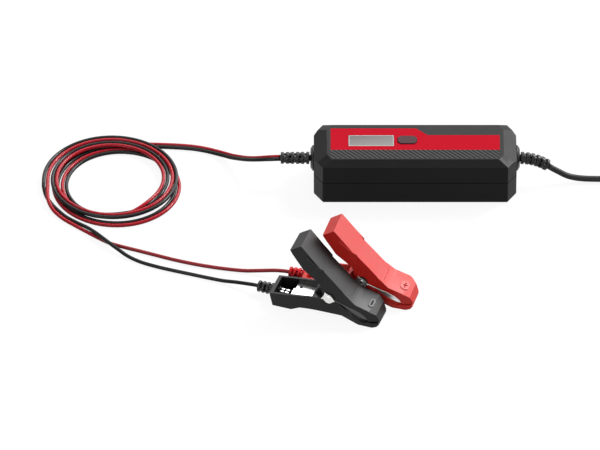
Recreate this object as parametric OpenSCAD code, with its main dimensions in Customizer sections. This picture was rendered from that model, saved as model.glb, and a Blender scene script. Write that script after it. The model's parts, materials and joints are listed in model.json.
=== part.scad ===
// Small smart charger for car batteries: a bevelled two-shell case with a display and one
// button, a coiled twin lead that splits to two spring clamps, and a mains lead wound up
// behind its plug. Origin: centre of the case's underside. X runs along the case, -Y is the
// side with the clamps, +Z is up. Millimetres.

/* [Case] */
// Length of the case without its cable glands
case_l = 180; // [176:1:190]
// Width of the case
case_w = 61; // [58:1:70]
// Height of the case
case_h = 45; // [43:1:52]
// Height of the joint between the two shells
split_z = 20.5; // [18:0.5:22]
// Wall thickness of both shells
wall = 2.4; // [2:0.1:2.8]
// Length that each cut corner takes along the case
corner_l = 8; // [6:0.5:9]
// Length that each cut corner takes across the case
corner_w = 12.5; // [11:0.5:15]
// Height of the slopes along the two long sides
side_drop = 5; // [4:0.5:6]
// Width of the slopes along the two long sides
side_slope = 6; // [4:0.5:6]
// Height of the slopes at the two ends
end_drop = 7; // [5:0.5:7.5]
// Width of the slopes at the two ends
end_slope = 11.5; // [10:0.5:13]
// Height of the slopes at the cut corners
corner_drop = 5; // [4:0.5:6]
// Width of the slopes at the cut corners
corner_slope = 10; // [8:0.5:10.5]
// Bevel around the bottom
base_bevel = 1.2; // [0.8:0.1:2]
// Height of the tongue that locates the shells
tongue_h = 2; // [1.5:0.1:3]
// Thickness of the seal on the tongue
seal_t = 0.6; // [0.4:0.1:1]

/* [Front panel] */
// Length of the printed panel
label_l = 150; // [146:1:152]
// Front edge of the red field
label_front = -11; // [-12:0.5:-10.5]
// Back edge of the red field on its tall left part
label_back = 19.5; // [18.5:0.5:20]
// Back edge of the red field on its low right part
label_back_low = 10; // [9:0.5:12]
// Depth of the patterned band in front of the red field
band_w = 12; // [8:0.5:12.5]
// Thickness of the printed film
film_t = 0.4; // [0.3:0.1:0.6]
// Length of the display window
window_l = 40; // [36:1:41]
// Width of the display window
window_w = 15; // [12:1:16]
// Centre of the display window along the case
window_x = -39; // [-40:0.5:-38]
// Centre of the display window across the case
window_y = 2; // [1:0.5:3]
// Length of the mode button
button_l = 17; // [14:0.5:18]
// Width of the mode button
button_w = 11; // [9:0.5:12]
// Centre of the button along the case
button_x = -7; // [-8:0.5:-6]
// How far the button stands above the film
button_rise = 0.9; // [0.9:0.1:1.2]
// Travel of the button
button_travel = 0.8; // [0.5:0.1:0.8]

/* [Electronics] */
// Thickness of both circuit boards
board_t = 1.6; // [1.2:0.1:2]
// Gap between the main board and the screw columns at its ends
board_end_gap = 3.5; // [1:0.5:5]
// Gap between the main board and the long walls
board_side_gap = 3.1; // [1:0.1:4]
// Height of the main board's underside
board_z = 8; // [7:0.5:9]
// Radius of the case screws' thread
screw_r = 1.5; // [1.2:0.1:1.8]
// Depth of the display module
lcd_t = 4; // [3:0.5:5]

/* [Cable glands] */
// How far the glands' axis lies below the top of the case
gland_below = 18; // [17:0.5:20]
// Radius of the glands' outer flange
gland_r = 11.5; // [9.5:0.5:12]
// How far the flange stands out of the case
gland_out = 3; // [2.5:0.5:5]
// Radius of the glands' neck
neck_r = 6.5; // [6:0.5:7]
// Length of each strain relief
relief_l = 27; // [20:1:34]
// Radius of the first and largest rib of a relief
relief_r = 5.2; // [4.8:0.1:6]
// Radius of the last rib
relief_tip_r = 4.8; // [4.2:0.1:5.2]
// Ribs on each relief
relief_ribs = 6; // [4:1:7]

/* [Leads] */
// Diameter of one core of the twin lead
core_d = 3.4; // [3:0.1:3.4]
// Distance between the two cores' centres
core_pitch = 3.6; // [3.6:0.05:3.8]
// Diameter of the mains lead
mains_d = 5.5; // [5:0.1:5.5]

/* [Battery clamps] */
// Width of a clamp's handles
clamp_w = 26; // [25:0.5:27]
// Width of the upper handle's waist
waist_w = 23.5; // [22.5:0.5:24]
// Width across the jaws
jaw_w = 27; // [26:0.5:28]
// Wall of the plastic handles
handle_wall = 2; // [1.6:0.1:2.2]
// Thickness of the steel jaws
steel_t = 1.2; // [1:0.1:1.2]
// Radius of the pivot pin
pin_r = 2; // [1.6:0.1:2.2]
// Radius of the pin's head
lug_r = 5.5; // [5:0.1:5.5]
// Wire diameter of the clamp spring
spring_wire = 1.5; // [1.2:0.1:1.5]
// Radius of the ribs on a clamp's boot
boot_r = 5.1; // [4.4:0.1:5.2]
// Length of a clamp's boot outside the handle
boot_l = 18; // [16:1:20]

/* [Plug] */
// Width of the plug's body
plug_w = 35; // [34:1:36]
// Thickness of the plug's body
plug_t = 14; // [13:0.5:15]
// Length of the plug's body
plug_l = 36; // [32:1:38]
// Radius of the contact pins
contact_r = 2; // [2:0.1:2.4]
// Length of the contact pins outside the body
contact_l = 19; // [17:0.5:20]
// Distance between the contact pins
contact_pitch = 18.6; // [17:0.2:19]

/* [Hidden] */
$fn = 48;

// Clearances
slip = 0.05;        // running fit, all round
snug = 0.02;        // a shaft that stays put in its hole
loose = 0.3;        // between parts that only pass each other
over = 1;           // how far a cut runs past the face it opens

CASE_GREY = "#3b3b3d";
PANEL_RED = "#d01430";
CLAMP_RED = "#d8232a";
CLAMP_BLACK = "#2b2b2d";
STEEL = "#d9dcdf";
RUBBER = "#1d1d1f";
CORE_RED = "#c4202c";
CORE_BLACK = "#1c1c1e";

// ---------------------------------------------------------------- shared shapes

function unit(v) = v / norm(v);
function ease(u) = u <= 0 ? 0 : u >= 1 ? 1 : u * u * (3 - 2 * u);
function flat(lists) = [for (l = lists) for (p = l) p];
function xyz(p) = [p[0], p[1], p[2]];
function last(list) = list[len(list) - 1];

// Direction of a path at its point i
function heading(path, i) =
    unit(xyz(path[min(i + 1, len(path) - 1)]) - xyz(path[max(i - 1, 0)]));

// A smooth curve through every point of a route, in steps pieces from point to point
function curve(route, steps) = concat(
    [for (i = [0 : len(route) - 2]) for (k = [0 : steps - 1])
        let (
            a = route[max(i - 1, 0)],
            b = route[i],
            c = route[i + 1],
            d = route[min(i + 2, len(route) - 1)],
            t = k / steps
        )
        0.5 * (2 * b + (c - a) * t + (2 * a - 5 * b + 4 * c - d) * t * t
            + (3 * b - a - 3 * c + d) * t * t * t)],
    [last(route)]);

// Length of a path
function path_length(path) = len(path) < 2 ? 0 :
    [for (i = [1 : len(path) - 1]) norm(xyz(path[i]) - xyz(path[i - 1]))]
    * [for (i = [1 : len(path) - 1]) 1];

// Least gap of a tube to itself, between points that lie more than skip rings apart
function self_gap(path, d, skip) = min([
    for (i = [0 : len(path) - 1]) for (j = [i + skip : len(path) - 1])
        norm(path[i] - path[j]) - d]);

// Least gap between two tubes of one diameter
function pair_gap(one, two, d) = min([for (p = one) for (q = two) norm(p - q) - d]);

// One closed solid through equal rings of points
module loft(rings) {
    n = len(rings[0]);
    m = len(rings);
    polyhedron(
        points = flat(rings),
        faces = concat(
            [[for (k = [0 : n - 1]) k]],
            [for (i = [0 : m - 2]) for (k = [0 : n - 1])
                [i * n + k, (i + 1) * n + k, i * n + (k + 1) % n]],
            [for (i = [0 : m - 2]) for (k = [0 : n - 1])
                [(i + 1) * n + k, (i + 1) * n + (k + 1) % n, i * n + (k + 1) % n]],
            [[for (k = [n - 1 : -1 : 0]) (m - 1) * n + k]]
        )
    );
}

// A tube along a path; across is a direction that the path never takes
module tube(path, d, sides, across = [0, 0, 1]) {
    loft([for (i = [0 : len(path) - 1])
        let (
            dir = heading(path, i),
            side = unit(cross(dir, across)),
            up = cross(side, dir)
        )
        [for (k = [0 : sides - 1])
            path[i] + d / 2 * (cos(360 * k / sides) * side - sin(360 * k / sides) * up)]]);
}

// Extrudes an outline of [x, z] points across Y, centred
module across_y(points, w) {
    rotate([90, 0, 0])
        translate([0, 0, -w / 2])
            linear_extrude(w) polygon(points);
}

module block(size, at) {
    translate(at + [0, 0, size[2] / 2]) cube(size, center = true);
}

module post(r, h, at, fn = 32) {
    translate(at) cylinder(r = r, h = h, $fn = fn);
}

module rod_x(r, l, at) {
    translate(at) rotate([0, 90, 0]) cylinder(r = r, h = l);
}

module rod_y(r, l) {
    rotate([90, 0, 0]) cylinder(r = r, h = l, center = true);
}

// ---------------------------------------------------------------- case

// Direction of a cut corner's face, and how far that face stands from the case's axis
corner_turn = atan2(corner_l, corner_w);
corner_reach = (case_l / 2 - corner_l) * cos(corner_turn) + case_w / 2 * sin(corner_turn);

// The case's outline in plan, drawn in by an inset
function case_plan(inset) =
    let (
        a = case_l / 2 - inset,
        b = case_w / 2 - inset,
        u = corner_reach - inset,
        x = (u - b * sin(corner_turn)) / cos(corner_turn),
        y = (u - a * cos(corner_turn)) / sin(corner_turn)
    )
    [[a, -y], [a, y], [x, b], [-x, b], [-a, y], [-a, -y], [-x, -b], [x, -b]];

// Half of the case's section square to a pair of its walls, drawn in by an inset: the wall
// stands at half, and its slope at the top is w wide and h high
function case_half(half, w, h, inset) =
    let (
        a = half - inset,
        top = case_h - inset,
        line = h * half + w * (case_h - h) - inset * norm([w, h]),
        bevel = base_bevel - inset * (2 - sqrt(2))
    )
    concat(
        bevel > 0 ? [[a - bevel, inset], [a, inset + bevel]] : [[a, inset]],
        [[a, (line - h * a) / w], [(line - w * top) / h, top]]
    );

module case_prism(half, w, h, inset) {
    right = case_half(half, w, h, inset);
    left = [for (k = [len(right) - 1 : -1 : 0]) [-right[k][0], right[k][1]]];
    across_y(concat(right, left), 2 * case_l);
}

module case_solid(inset, z0, z1) {
    intersection() {
        translate([-case_l, -case_l, z0]) cube([2 * case_l, 2 * case_l, z1 - z0]);
        case_prism(case_l / 2, end_slope, end_drop, inset);
        rotate([0, 0, 90]) case_prism(case_w / 2, side_slope, side_drop, inset);
        rotate([0, 0, corner_turn])
            case_prism(corner_reach, corner_slope, corner_drop, inset);
        rotate([0, 0, -corner_turn])
            case_prism(corner_reach, corner_slope, corner_drop, inset);
    }
}

roof_z = case_h - wall;
gland_z = case_h - gland_below;
rebate_z = split_z + tongue_h + seal_t;

column_r = screw_r + 3;
screw_x = case_l / 2 - corner_l - column_r - 0.5;
screw_y = case_w / 2 - wall - column_r - 3.6;
screw_head_r = screw_r + 1.4;
screw_head_h = 2.2;
screw_seat = 6;
screw_top = split_z + 14;

module at_corners(x, y) {
    for (sx = [-1, 1])
        for (sy = [-1, 1])
            translate([sx * x, sy * y, 0]) children();
}

// Standoffs for the main board
board_l = 2 * (screw_x - column_r - board_end_gap);
board_w = case_w - 2 * wall - 2 * board_side_gap;
stand_x = board_l / 2 - 7;
stand_y = board_w / 2 - 5;
stand_r = 3;
board_top = board_z + board_t;
board_screw_r = 1.4;
board_screw_l = 5;

module gland_holes() {
    for (side = [-1, 1])
        rod_x(neck_r + slip, 2 * wall + 2 * over,
            [side * (case_l / 2 - wall / 2) - wall - over, 0, gland_z]);
}

// How far the tongue's inner face stands back from the cavity's wall
tongue_back = 0.2;

module base_shell() {
    color(CASE_GREY) difference() {
        union() {
            difference() {
                case_solid(0, -over, split_z);
                case_solid(wall, 0, split_z + over);
            }
            translate([0, 0, split_z - over]) linear_extrude(tongue_h + over) difference() {
                polygon(case_plan(wall / 2 + slip));
                polygon(case_plan(wall - tongue_back));
            }
            at_corners(screw_x, screw_y)
                translate([0, 0, wall / 2]) cylinder(r = column_r, h = split_z - wall / 2);
            at_corners(stand_x, stand_y)
                translate([0, 0, wall / 2]) cylinder(r = stand_r, h = board_z - wall / 2);
        }
        at_corners(screw_x, screw_y) {
            translate([0, 0, -over]) cylinder(r = screw_r + slip, h = split_z + 2 * over);
            translate([0, 0, -over]) cylinder(r = screw_head_r + loose, h = screw_seat + over);
        }
        at_corners(stand_x, stand_y)
            translate([0, 0, board_z - board_screw_l + board_t])
                cylinder(r = board_screw_r + snug, h = board_screw_l);
        gland_holes();
    }
}

// Display board, hung from the roof on four bosses
deck_x = -31;
deck_y = window_y;
deck_l = 74;
deck_w = 30;
boss_x = deck_l / 2 - 3;
boss_y = deck_w / 2 - 3;
boss_r = 2.5;
lens_flange_t = 0.8;
lens_flange = 1.5;
deck_top = roof_z - lens_flange_t - lcd_t;
deck_screw_r = 1;
deck_screw_l = 4;

button_y = window_y + 0.7;
button_cut = 2.6;
button_flange = 1.2;
button_flange_t = 1;

module at_deck_bosses() {
    for (sx = [-1, 1])
        for (sy = [-1, 1])
            translate([deck_x + sx * boss_x, deck_y + sy * boss_y, 0]) children();
}

// The button's outline: a rectangle with its corners cut off
module button_outline(grow) {
    l = button_l / 2 + grow;
    w = button_w / 2 + grow;
    c = button_cut;
    polygon([
        [l, -w + c], [l, w - c], [l - c, w], [-l + c, w],
        [-l, w - c], [-l, -w + c], [-l + c, -w], [l - c, -w]
    ]);
}

module at_button() {
    translate([button_x, button_y, 0]) children();
}

module window_block(grow, z0, z1) {
    translate([window_x - window_l / 2 - grow, window_y - window_w / 2 - grow, z0])
        cube([window_l + 2 * grow, window_w + 2 * grow, z1 - z0]);
}

module top_shell() {
    color(CASE_GREY) difference() {
        union() {
            difference() {
                case_solid(0, split_z, case_h);
                case_solid(wall, split_z - over, roof_z);
                translate([0, 0, split_z - over])
                    linear_extrude(rebate_z - split_z + over)
                        polygon(case_plan(wall / 2));
            }
            intersection() {
                at_corners(screw_x, screw_y)
                    translate([0, 0, split_z]) cylinder(r = column_r, h = case_h - split_z);
                case_solid(wall / 2, split_z, case_h);
            }
            at_deck_bosses()
                translate([0, 0, deck_top]) cylinder(r = boss_r, h = roof_z - deck_top + wall / 2);
        }
        at_corners(screw_x, screw_y)
            translate([0, 0, split_z - over])
                cylinder(r = screw_r + snug, h = screw_top - split_z + 2 * over);
        at_deck_bosses()
            translate([0, 0, deck_top - over]) cylinder(r = deck_screw_r + snug, h = deck_screw_l);
        window_block(loose, roof_z - over, case_h + over);
        at_button()
            translate([0, 0, roof_z - over])
                linear_extrude(wall + 2 * over) button_outline(loose);
        translate([0, 0, case_h - film_t]) {
            linear_extrude(film_t + over) red_field();
            linear_extrude(film_t + over) band_field();
        }
        gland_holes();
    }
}

module case_seal() {
    color("#5a5a5c") difference() {
        translate([0, 0, split_z + tongue_h])
            linear_extrude(seal_t)
                difference() {
                    polygon(case_plan(wall / 2 + slip));
                    polygon(case_plan(wall - tongue_back));
                }
        gland_holes();
    }
}

module case_screws() {
    color(STEEL) at_corners(screw_x, screw_y) difference() {
        union() {
            translate([0, 0, screw_seat - screw_head_h])
                cylinder(r = screw_head_r, h = screw_head_h);
            translate([0, 0, screw_seat - snug])
                cylinder(r = screw_r, h = screw_top - screw_seat);
        }
        cross_slot(screw_seat - screw_head_h);
    }
}

// A cross recess in a screw head that is driven from below
module cross_slot(z) {
    for (turn = [0, 90])
        rotate([0, 0, turn])
            translate([-1.6, -0.35, z - over]) cube([3.2, 0.7, over + 1.1]);
}

// ---------------------------------------------------------------- front panel

// The red field steps down behind the button, along a slant
step_x0 = 1;
step_x1 = 11;

module red_field() {
    polygon([
        [-label_l / 2, label_front], [label_l / 2, label_front],
        [label_l / 2, label_back_low], [step_x1, label_back_low],
        [step_x0, label_back], [-label_l / 2, label_back]
    ]);
}

module band_field() {
    translate([-label_l / 2, label_front - band_w]) square([label_l, band_w]);
}

module face_label() {
    color(PANEL_RED)
        translate([0, 0, case_h - film_t])
            linear_extrude(film_t)
                difference() {
                    red_field();
                    translate([window_x - window_l / 2 - loose, window_y - window_w / 2 - loose])
                        square([window_l + 2 * loose, window_w + 2 * loose]);
                    translate([button_x, button_y]) button_outline(loose);
                }
}

module patterned_band() {
    color("#4a4a4c")
        translate([0, 0, case_h - film_t]) linear_extrude(film_t) band_field();
}

module display_window() {
    color("#b9bcbf") union() {
        window_block(0, roof_z - lens_flange_t, case_h);
        window_block(lens_flange, roof_z - lens_flange_t, roof_z);
    }
}

module lcd_module() {
    lcd_rim = lens_flange + 0.4;
    color("#8d9288") difference() {
        window_block(lcd_rim, deck_top, deck_top + lcd_t);
        window_block(-loose, deck_top + lcd_t - 0.4, deck_top + lcd_t + over);
    }
}

module mode_button() {
    color("#4b4b4e") at_button() {
        translate([0, 0, roof_z - button_flange_t])
            linear_extrude(case_h + button_rise - roof_z + button_flange_t) button_outline(0);
        translate([0, 0, roof_z - button_flange_t])
            linear_extrude(button_flange_t) button_outline(button_flange);
    }
}

// ---------------------------------------------------------------- electronics

switch_h = 2;
switch_l = 6;
plunger_r = 1.6;
plunger_foot = deck_top + button_travel + 0.2;

module display_board() {
    color("#1f6b3a") difference() {
        translate([deck_x - deck_l / 2, deck_y - deck_w / 2, deck_top - board_t])
            cube([deck_l, deck_w, board_t]);
        at_deck_bosses()
            translate([0, 0, deck_top - board_t - over])
                cylinder(r = deck_screw_r + slip, h = board_t + 2 * over);
    }
}

module display_screws() {
    head_h = 1.2;
    color(STEEL) at_deck_bosses() {
        translate([0, 0, deck_top - board_t - head_h]) cylinder(r = 1.9, h = head_h);
        translate([0, 0, deck_top - board_t - snug])
            cylinder(r = deck_screw_r, h = deck_screw_l + board_t - 2 * over);
    }
}

module tact_switch() {
    color("#222224") at_button() difference() {
        block([switch_l, switch_l, switch_h], [0, 0, deck_top]);
        translate([0, 0, deck_top - over])
            cylinder(r = plunger_r + slip, h = switch_h + 2 * over);
    }
}

module switch_plunger() {
    color("#c9c9c9") at_button()
        translate([0, 0, plunger_foot])
            cylinder(r = plunger_r, h = roof_z - button_flange_t - plunger_foot);
}

module main_board() {
    color("#1f6b3a") difference() {
        block([board_l, board_w, board_t], [0, 0, board_z]);
        at_corners(stand_x, stand_y)
            translate([0, 0, board_z - over])
                cylinder(r = board_screw_r + slip, h = board_t + 2 * over);
    }
}

module board_screws() {
    color(STEEL) at_corners(stand_x, stand_y) {
        translate([0, 0, board_top]) cylinder(r = board_screw_r + 1.2, h = 1.6);
        translate([0, 0, board_z - board_screw_l + board_t + snug])
            cylinder(r = board_screw_r, h = board_screw_l);
    }
}

module ribbon_cable() {
    color("#8f8f93")
        block([14, 1, deck_top - board_t - board_top], [-20, 14, board_top]);
}

// What stands on the board keeps its distance from the end that its leads come from
wire_x = board_l / 2 - 3;
choke_x = wire_x - 9;
filter_x = choke_x - 13;
trafo_x = filter_x - 24;
output_x = -wire_x + 10;

// A ferrite core: an upright frame with two windows around its middle leg
trafo_l = 32;
trafo_w = 14;
trafo_h = 26;
leg = 6;
winding_gap = 0.3;

module transformer_core() {
    inside = (trafo_l - 3 * leg) / 2;
    color("#3a3634") difference() {
        block([trafo_l, trafo_w, trafo_h], [trafo_x, 0, board_top]);
        for (side = [-1, 1])
            block([inside, trafo_w + 2 * over, trafo_h - 2 * leg],
                [trafo_x + side * (leg + inside) / 2, 0, board_top + leg]);
    }
}

module transformer_winding() {
    reach = (trafo_l - leg) / 2 - leg - winding_gap;
    wound = 2 * reach + leg;
    color("#c9b23c") difference() {
        translate([trafo_x, 0, board_top + leg + winding_gap])
            linear_extrude(trafo_h - 2 * leg - 2 * winding_gap)
                square([wound, trafo_w + 2 * reach], center = true);
        block([leg + 2 * winding_gap, trafo_w + 2 * winding_gap, trafo_h],
            [trafo_x, 0, board_top]);
    }
}

module mains_capacitor() {
    color("#2e3d63") post(8, 25, [filter_x, 14, board_top], 48);
}

module output_capacitors() {
    color("#23262c")
        for (k = [-1 : 1])
            post(5, 18, [output_x, 11 * k, board_top], 48);
}

module bridge_rectifier() {
    color("#1c1c1e") block([15, 4, 12], [filter_x, -8, board_top]);
}

module filter_choke() {
    color("#a8603a")
        translate([choke_x, 3, board_top])
            rotate_extrude()
                translate([3, 0]) square([4.5, 7]);
}

// An upright plate with fins, with the transistors on its flat side
sink_x0 = output_x + 12;
sink_x1 = trafo_x - 20;
sink_l = sink_x1 - sink_x0;
sink_x = (sink_x0 + sink_x1) / 2;
sink_y = -14;
sink_h = 20;
fin_count = 6;

module heatsink() {
    fin_pitch = (sink_l - 2) / (fin_count - 1);
    color("#b4b7ba") {
        block([sink_l, 2.5, sink_h], [sink_x, sink_y, board_top]);
        for (k = [0 : fin_count - 1])
            block([2, 6, sink_h], [sink_x - sink_l / 2 + 1 + k * fin_pitch, sink_y - 4, board_top]);
    }
}

module power_transistors() {
    color("#1c1c1e")
        for (side = [-1, 1])
            block([10, 4.4, 15], [sink_x + side * sink_l / 4, sink_y + 1.25 + 2.2, board_top]);
}

fuse_x = filter_x - 8;
fuse_y = -17;

module fuse() {
    length = 20;
    cap = 5;
    color("#d8d8d2") {
        rod_x(2.6, length, [fuse_x, fuse_y, board_top + 3.4]);
        for (x = [fuse_x, fuse_x + length - cap])
            translate([x, fuse_y - 3, board_top]) cube([cap, 6, 3.4]);
    }
}

// ---------------------------------------------------------------- glands and reliefs

nut_t = 3;
gland_rim = 1;
gland_face = case_l / 2 + gland_out;

module gland(side) {
    mirror([side < 0 ? 1 : 0, 0, 0]) difference() {
        union() {
            rod_x(gland_r, gland_rim, [case_l / 2, 0, gland_z]);
            translate([case_l / 2 + gland_rim, 0, gland_z])
                rotate([0, 90, 0])
                    cylinder(r1 = gland_r, r2 = gland_r - 3, h = gland_out - gland_rim);
            rod_x(neck_r, wall + nut_t + over, [case_l / 2 - wall - nut_t, 0, gland_z]);
        }
        rod_x(3, wall + nut_t + 2, [case_l / 2 - wall - nut_t - over, 0, gland_z]);
    }
}

module dc_gland() {
    color(RUBBER) gland(-1);
}

module mains_gland() {
    color(RUBBER) gland(1);
}

module gland_nuts() {
    color("#4f5054")
        for (side = [-1, 1])
            mirror([side < 0 ? 1 : 0, 0, 0])
                translate([case_l / 2 - wall - nut_t, 0, gland_z])
                    rotate([0, 90, 0])
                        difference() {
                            cylinder(r = neck_r + 2.6, h = nut_t, $fn = 6);
                            translate([0, 0, -over])
                                cylinder(r = neck_r + snug, h = nut_t + 2 * over, $fn = 48);
                        }
}

// The twin lead's relief has a flat core, the mains lead's a round one
flat_core_w = 7.8;
flat_core_t = 4.8;
round_core_r = 3.3;
rib_t = 2.6;
rib_step = (relief_l - rib_t - 1.4) / (relief_ribs - 1);

// Radius of rib k, from the gland out
function rib_r(k) = relief_r + (relief_tip_r - relief_r) * k / (relief_ribs - 1);

module dc_strain_relief() {
    straight = flat_core_w - flat_core_t;
    color(RUBBER)
        translate([-gland_face, 0, gland_z])
            rotate([0, -90, 0]) {
                translate([-flat_core_t / 2, -straight / 2, 0])
                    cube([flat_core_t, straight, relief_l]);
                for (side = [-1, 1])
                    translate([0, side * straight / 2, 0])
                        cylinder(r = flat_core_t / 2, h = relief_l);
                for (k = [0 : relief_ribs - 1])
                    translate([0, 0, 1 + k * rib_step]) cylinder(r = rib_r(k), h = rib_t);
            }
}

// The mains relief droops along an arc
droop = 38;
droop_r = relief_l / droop * 180 / PI;
mains_exit = [
    gland_face + droop_r * sin(droop), 0, gland_z - droop_r * (1 - cos(droop))
];
mains_dir = [cos(droop), 0, -sin(droop)];

module mains_strain_relief() {
    color(RUBBER)
        translate([gland_face, 0, gland_z - droop_r])
            rotate([90, 0, 0]) {
                rotate([0, 0, 90 - droop])
                    rotate_extrude(angle = droop, $fn = 96)
                        translate([droop_r, 0]) circle(r = round_core_r);
                for (k = [0 : relief_ribs - 1])
                    rotate([0, 0, 90 - droop * (1 + rib_t / 2 + k * rib_step) / relief_l])
                        translate([droop_r, 0, 0])
                            rotate([90, 0, 0])
                                cylinder(r = rib_r(k), h = rib_t, center = true);
            }
}

// Cores between each gland and the board
module inner_wires() {
    wire_d = 2.4;
    foot = wire_x;
    top = case_l / 2 - wall - nut_t;
    for (side = [-1, 1])
        for (k = [-1, 1])
            color(k > 0 ? CORE_RED : CORE_BLACK)
                translate([0, 1.5 * k, 0])
                    tube([for (p = [
                        [top + 4, gland_z], [top - 1, gland_z], [foot + 3, gland_z - 3],
                        [foot, gland_z - 9], [foot, board_top + 3], [foot, board_top]
                    ]) [side * p[0], 0, p[1]]], wire_d, 8, [0, 1, 0]);
}

// ---------------------------------------------------------------- twin lead

// The pair's route from the relief to the coil: [x, y, z, roll]. Roll turns the pair about
// its own line: 0 has the red core on the right of the way the lead runs, 90 has it on top.
lead_z = 1.75;
dc_exit = [-gland_face - relief_l, 0, gland_z, 0];
DC_ROUTE = [
    [-126, 0, 26.8, 0], [-132, 1.5, 25.3, 0], [-138, 4.5, 22.5, 0], [-144, 9, 18.7, 0],
    [-150, 14.5, 14.6, 0], [-156, 20.5, 10.7, 0], [-163, 27, 7, 0], [-170, 33.5, 4.2, 0],
    [-178, 39, 2.5, 0], [-187, 43.3, 1.8, 0], [-197, 46, lead_z, 0], [-208, 47.6, lead_z, 0],
    [-220, 48.6, lead_z, 0], [-232, 49.2, lead_z, 0], [-244, 49.5, lead_z, 0]
];

// The coil: the pair spirals in on the floor, holds its radius while it moves across and
// climbs onto the second layer, rolls over as it climbs, and spirals out again.
turn_pitch = 7.8;
coil_r = 58;
turns_in = 1.4;
turns_hold = 0.3;
turns_out = 1.55;
layer_z = 3.9;
low_centre = [-263.5, -8.5];
high_centre = [-269.2, -2.6];
rings_per_turn = 24;
hold_r = coil_r - turns_in * turn_pitch;
dc_turns = turns_in + turns_hold + turns_out;
climb_from = turns_in + turns_hold - 0.2;

function dc_point(t) =
    let (
        a = 90 + 360 * t,
        r = hold_r + turn_pitch * (max(turns_in - t, 0) + max(t - turns_in - turns_hold, 0)),
        climb = ease((t - climb_from) / 0.2),
        centre = low_centre + (high_centre - low_centre) * ease((t - climb_from + 0.2) / 0.25)
    )
    [centre[0] + r * cos(a), centre[1] + r * sin(a), lead_z + layer_z * climb, 180 * climb];

dc_first = dc_point(0);
dc_last = dc_point(dc_turns);
dc_start = dc_first + [core_d, 0, 0, 0];
dc_finish = dc_last - [0, core_d, 0, 0];
dc_coil = concat(
    [dc_start],
    [for (i = [0 : dc_turns * rings_per_turn]) dc_point(i / rings_per_turn)],
    [dc_finish]
);
dc_lead = concat(
    [dc_exit],
    curve(concat([dc_exit - [core_d, 0, 0, 0]], DC_ROUTE, [dc_start + [core_d, 0, 0, 0]]), 1),
    [dc_start]
);

// One core of the pair: the pair's path, moved to its side by half the pitch
function core_path(pair, sign) = [
    for (i = [0 : len(pair) - 1])
        let (right = unit(cross(heading(pair, i), [0, 0, 1])), roll = pair[i][3])
        xyz(pair[i]) + sign * core_pitch / 2 * (cos(roll) * right + sin(roll) * [0, 0, 1])
];

coil_red = core_path(dc_coil, 1);
coil_black = core_path(dc_coil, -1);

// From the coil to the fork, the pair drops to the floor and rolls back; at the fork the
// black core rides over the red one.
END_ROUTE = [
    [-328.2, -14, 5.2, 165], [-327, -24, 4.4, 110], [-324, -34, 3.4, 50],
    [-319, -43, 2.2, 10], [-311, -53, lead_z, 0], [-301, -62, 1.9, -10],
    [-291, -71, 2.8, -40], [-282, -80, 3.6, -80]
];
BLACK_ROUTE = [
    [-273, -89.5, 5], [-264, -98.5, 3.8], [-254, -107.5, 2.2], [-243, -115, lead_z],
    [-229, -121.5, lead_z], [-214, -127, lead_z], [-199, -132, lead_z],
    [-184, -137, lead_z], [-170, -141.8, 2.2], [-157, -146.8, 4.4]
];
RED_ROUTE = [
    [-271, -88.5, lead_z], [-259, -94, lead_z], [-245, -99.5, lead_z], [-230, -105.5, lead_z],
    [-215, -111.5, lead_z], [-199, -117, lead_z], [-183, -121.5, lead_z],
    [-167, -125, lead_z], [-151, -127.8, 2.1], [-137, -129.8, 3.8], [-124, -132.2, 6]
];

// ---------------------------------------------------------------- battery clamps

// Where each clamp stands: the middle of its rear end, and how far it is turned
black_at = [-122, -160.5];
black_turn = -19.5;
red_at = [-94.5, -140.5];
red_turn = -16.5;
wire_z = 7;
crimp_x0 = 3.5;
crimp_x1 = 15;

function clamp_point(at, turn, x, z) = [at[0] + x * cos(turn), at[1] + x * sin(turn), z];

// The last stretch of a tail: straight through the boot and into the crimp
function into_clamp(at, turn) = [
    for (x = [-boot_l - core_d, -boot_l, -boot_l / 2, 0, crimp_x0, crimp_x1 - 2])
        clamp_point(at, turn, x, wire_z)
];

function tail(sign, route, at, turn) =
    let (
        pair = concat([dc_finish - [0, core_d, 0, 0]], END_ROUTE),
        ends = into_clamp(at, turn),
        start = core_path([dc_last, dc_finish], sign)[1]
    )
    concat([start],
        curve(concat(core_path(pair, sign), route, [ends[0]]), 2),
        [for (k = [1 : len(ends) - 1]) ends[k]]);

red_path = tail(1, RED_ROUTE, red_at, red_turn);
black_path = tail(-1, BLACK_ROUTE, black_at, black_turn);

module place(at, turn) {
    translate([at[0], at[1], 0]) rotate([0, 0, turn]) children();
}

// Side views of a clamp are outlines of [x, z], from the cable end to the tip of the jaws
pivot = [51.5, 21.2];
pivot_gap = 0.3;
jaw_tip = 97.5;

LOWER_SIDE = [
    [0, 0], [17, 0], [25, 3.7], [40, 4.7], [64, 5], [80, 0], [95.5, 0], [jaw_tip, 2], [97, 4.1],
    [87, 5.2], [74, 12.2], [66, 15.9], [57, 19.4], [46, 19.4], [37, 18.6], [-3, 13]
];
UPPER_SIDE = [
    [16, 66], [26.5, 73.2], [47, 49.5], [57, 39.2], [67.2, 28.4], [76, 21.3], [89.5, 17],
    [95, 12.4], [98, 5.4], [97, 4.8], [87, 6.4], [74, 13.9], [66, 17.4], [57, 20.6],
    [45.6, 24.4], [43.5, 34.3], [41.3, 37.6], [28.3, 47.7]
];
UPPER_CAVITY = [
    [25, 50.4], [28.6, 66], [46, 46.2], [55.4, 36.6], [65.6, 25.8], [75.2, 18.9],
    [88, 14.9], [93.4, 11], [94.4, 8], [94.4, -10], [25, -10]
];

// Half of a clamp's plan, mirrored to the whole: [x, half width]
function plan_of(half) = concat(half, [for (k = [len(half) - 1 : -1 : 0]) [half[k][0], -half[k][1]]]);

module in_plan(half) {
    translate([0, 0, -over]) linear_extrude(100) polygon(plan_of(half));
}

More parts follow.
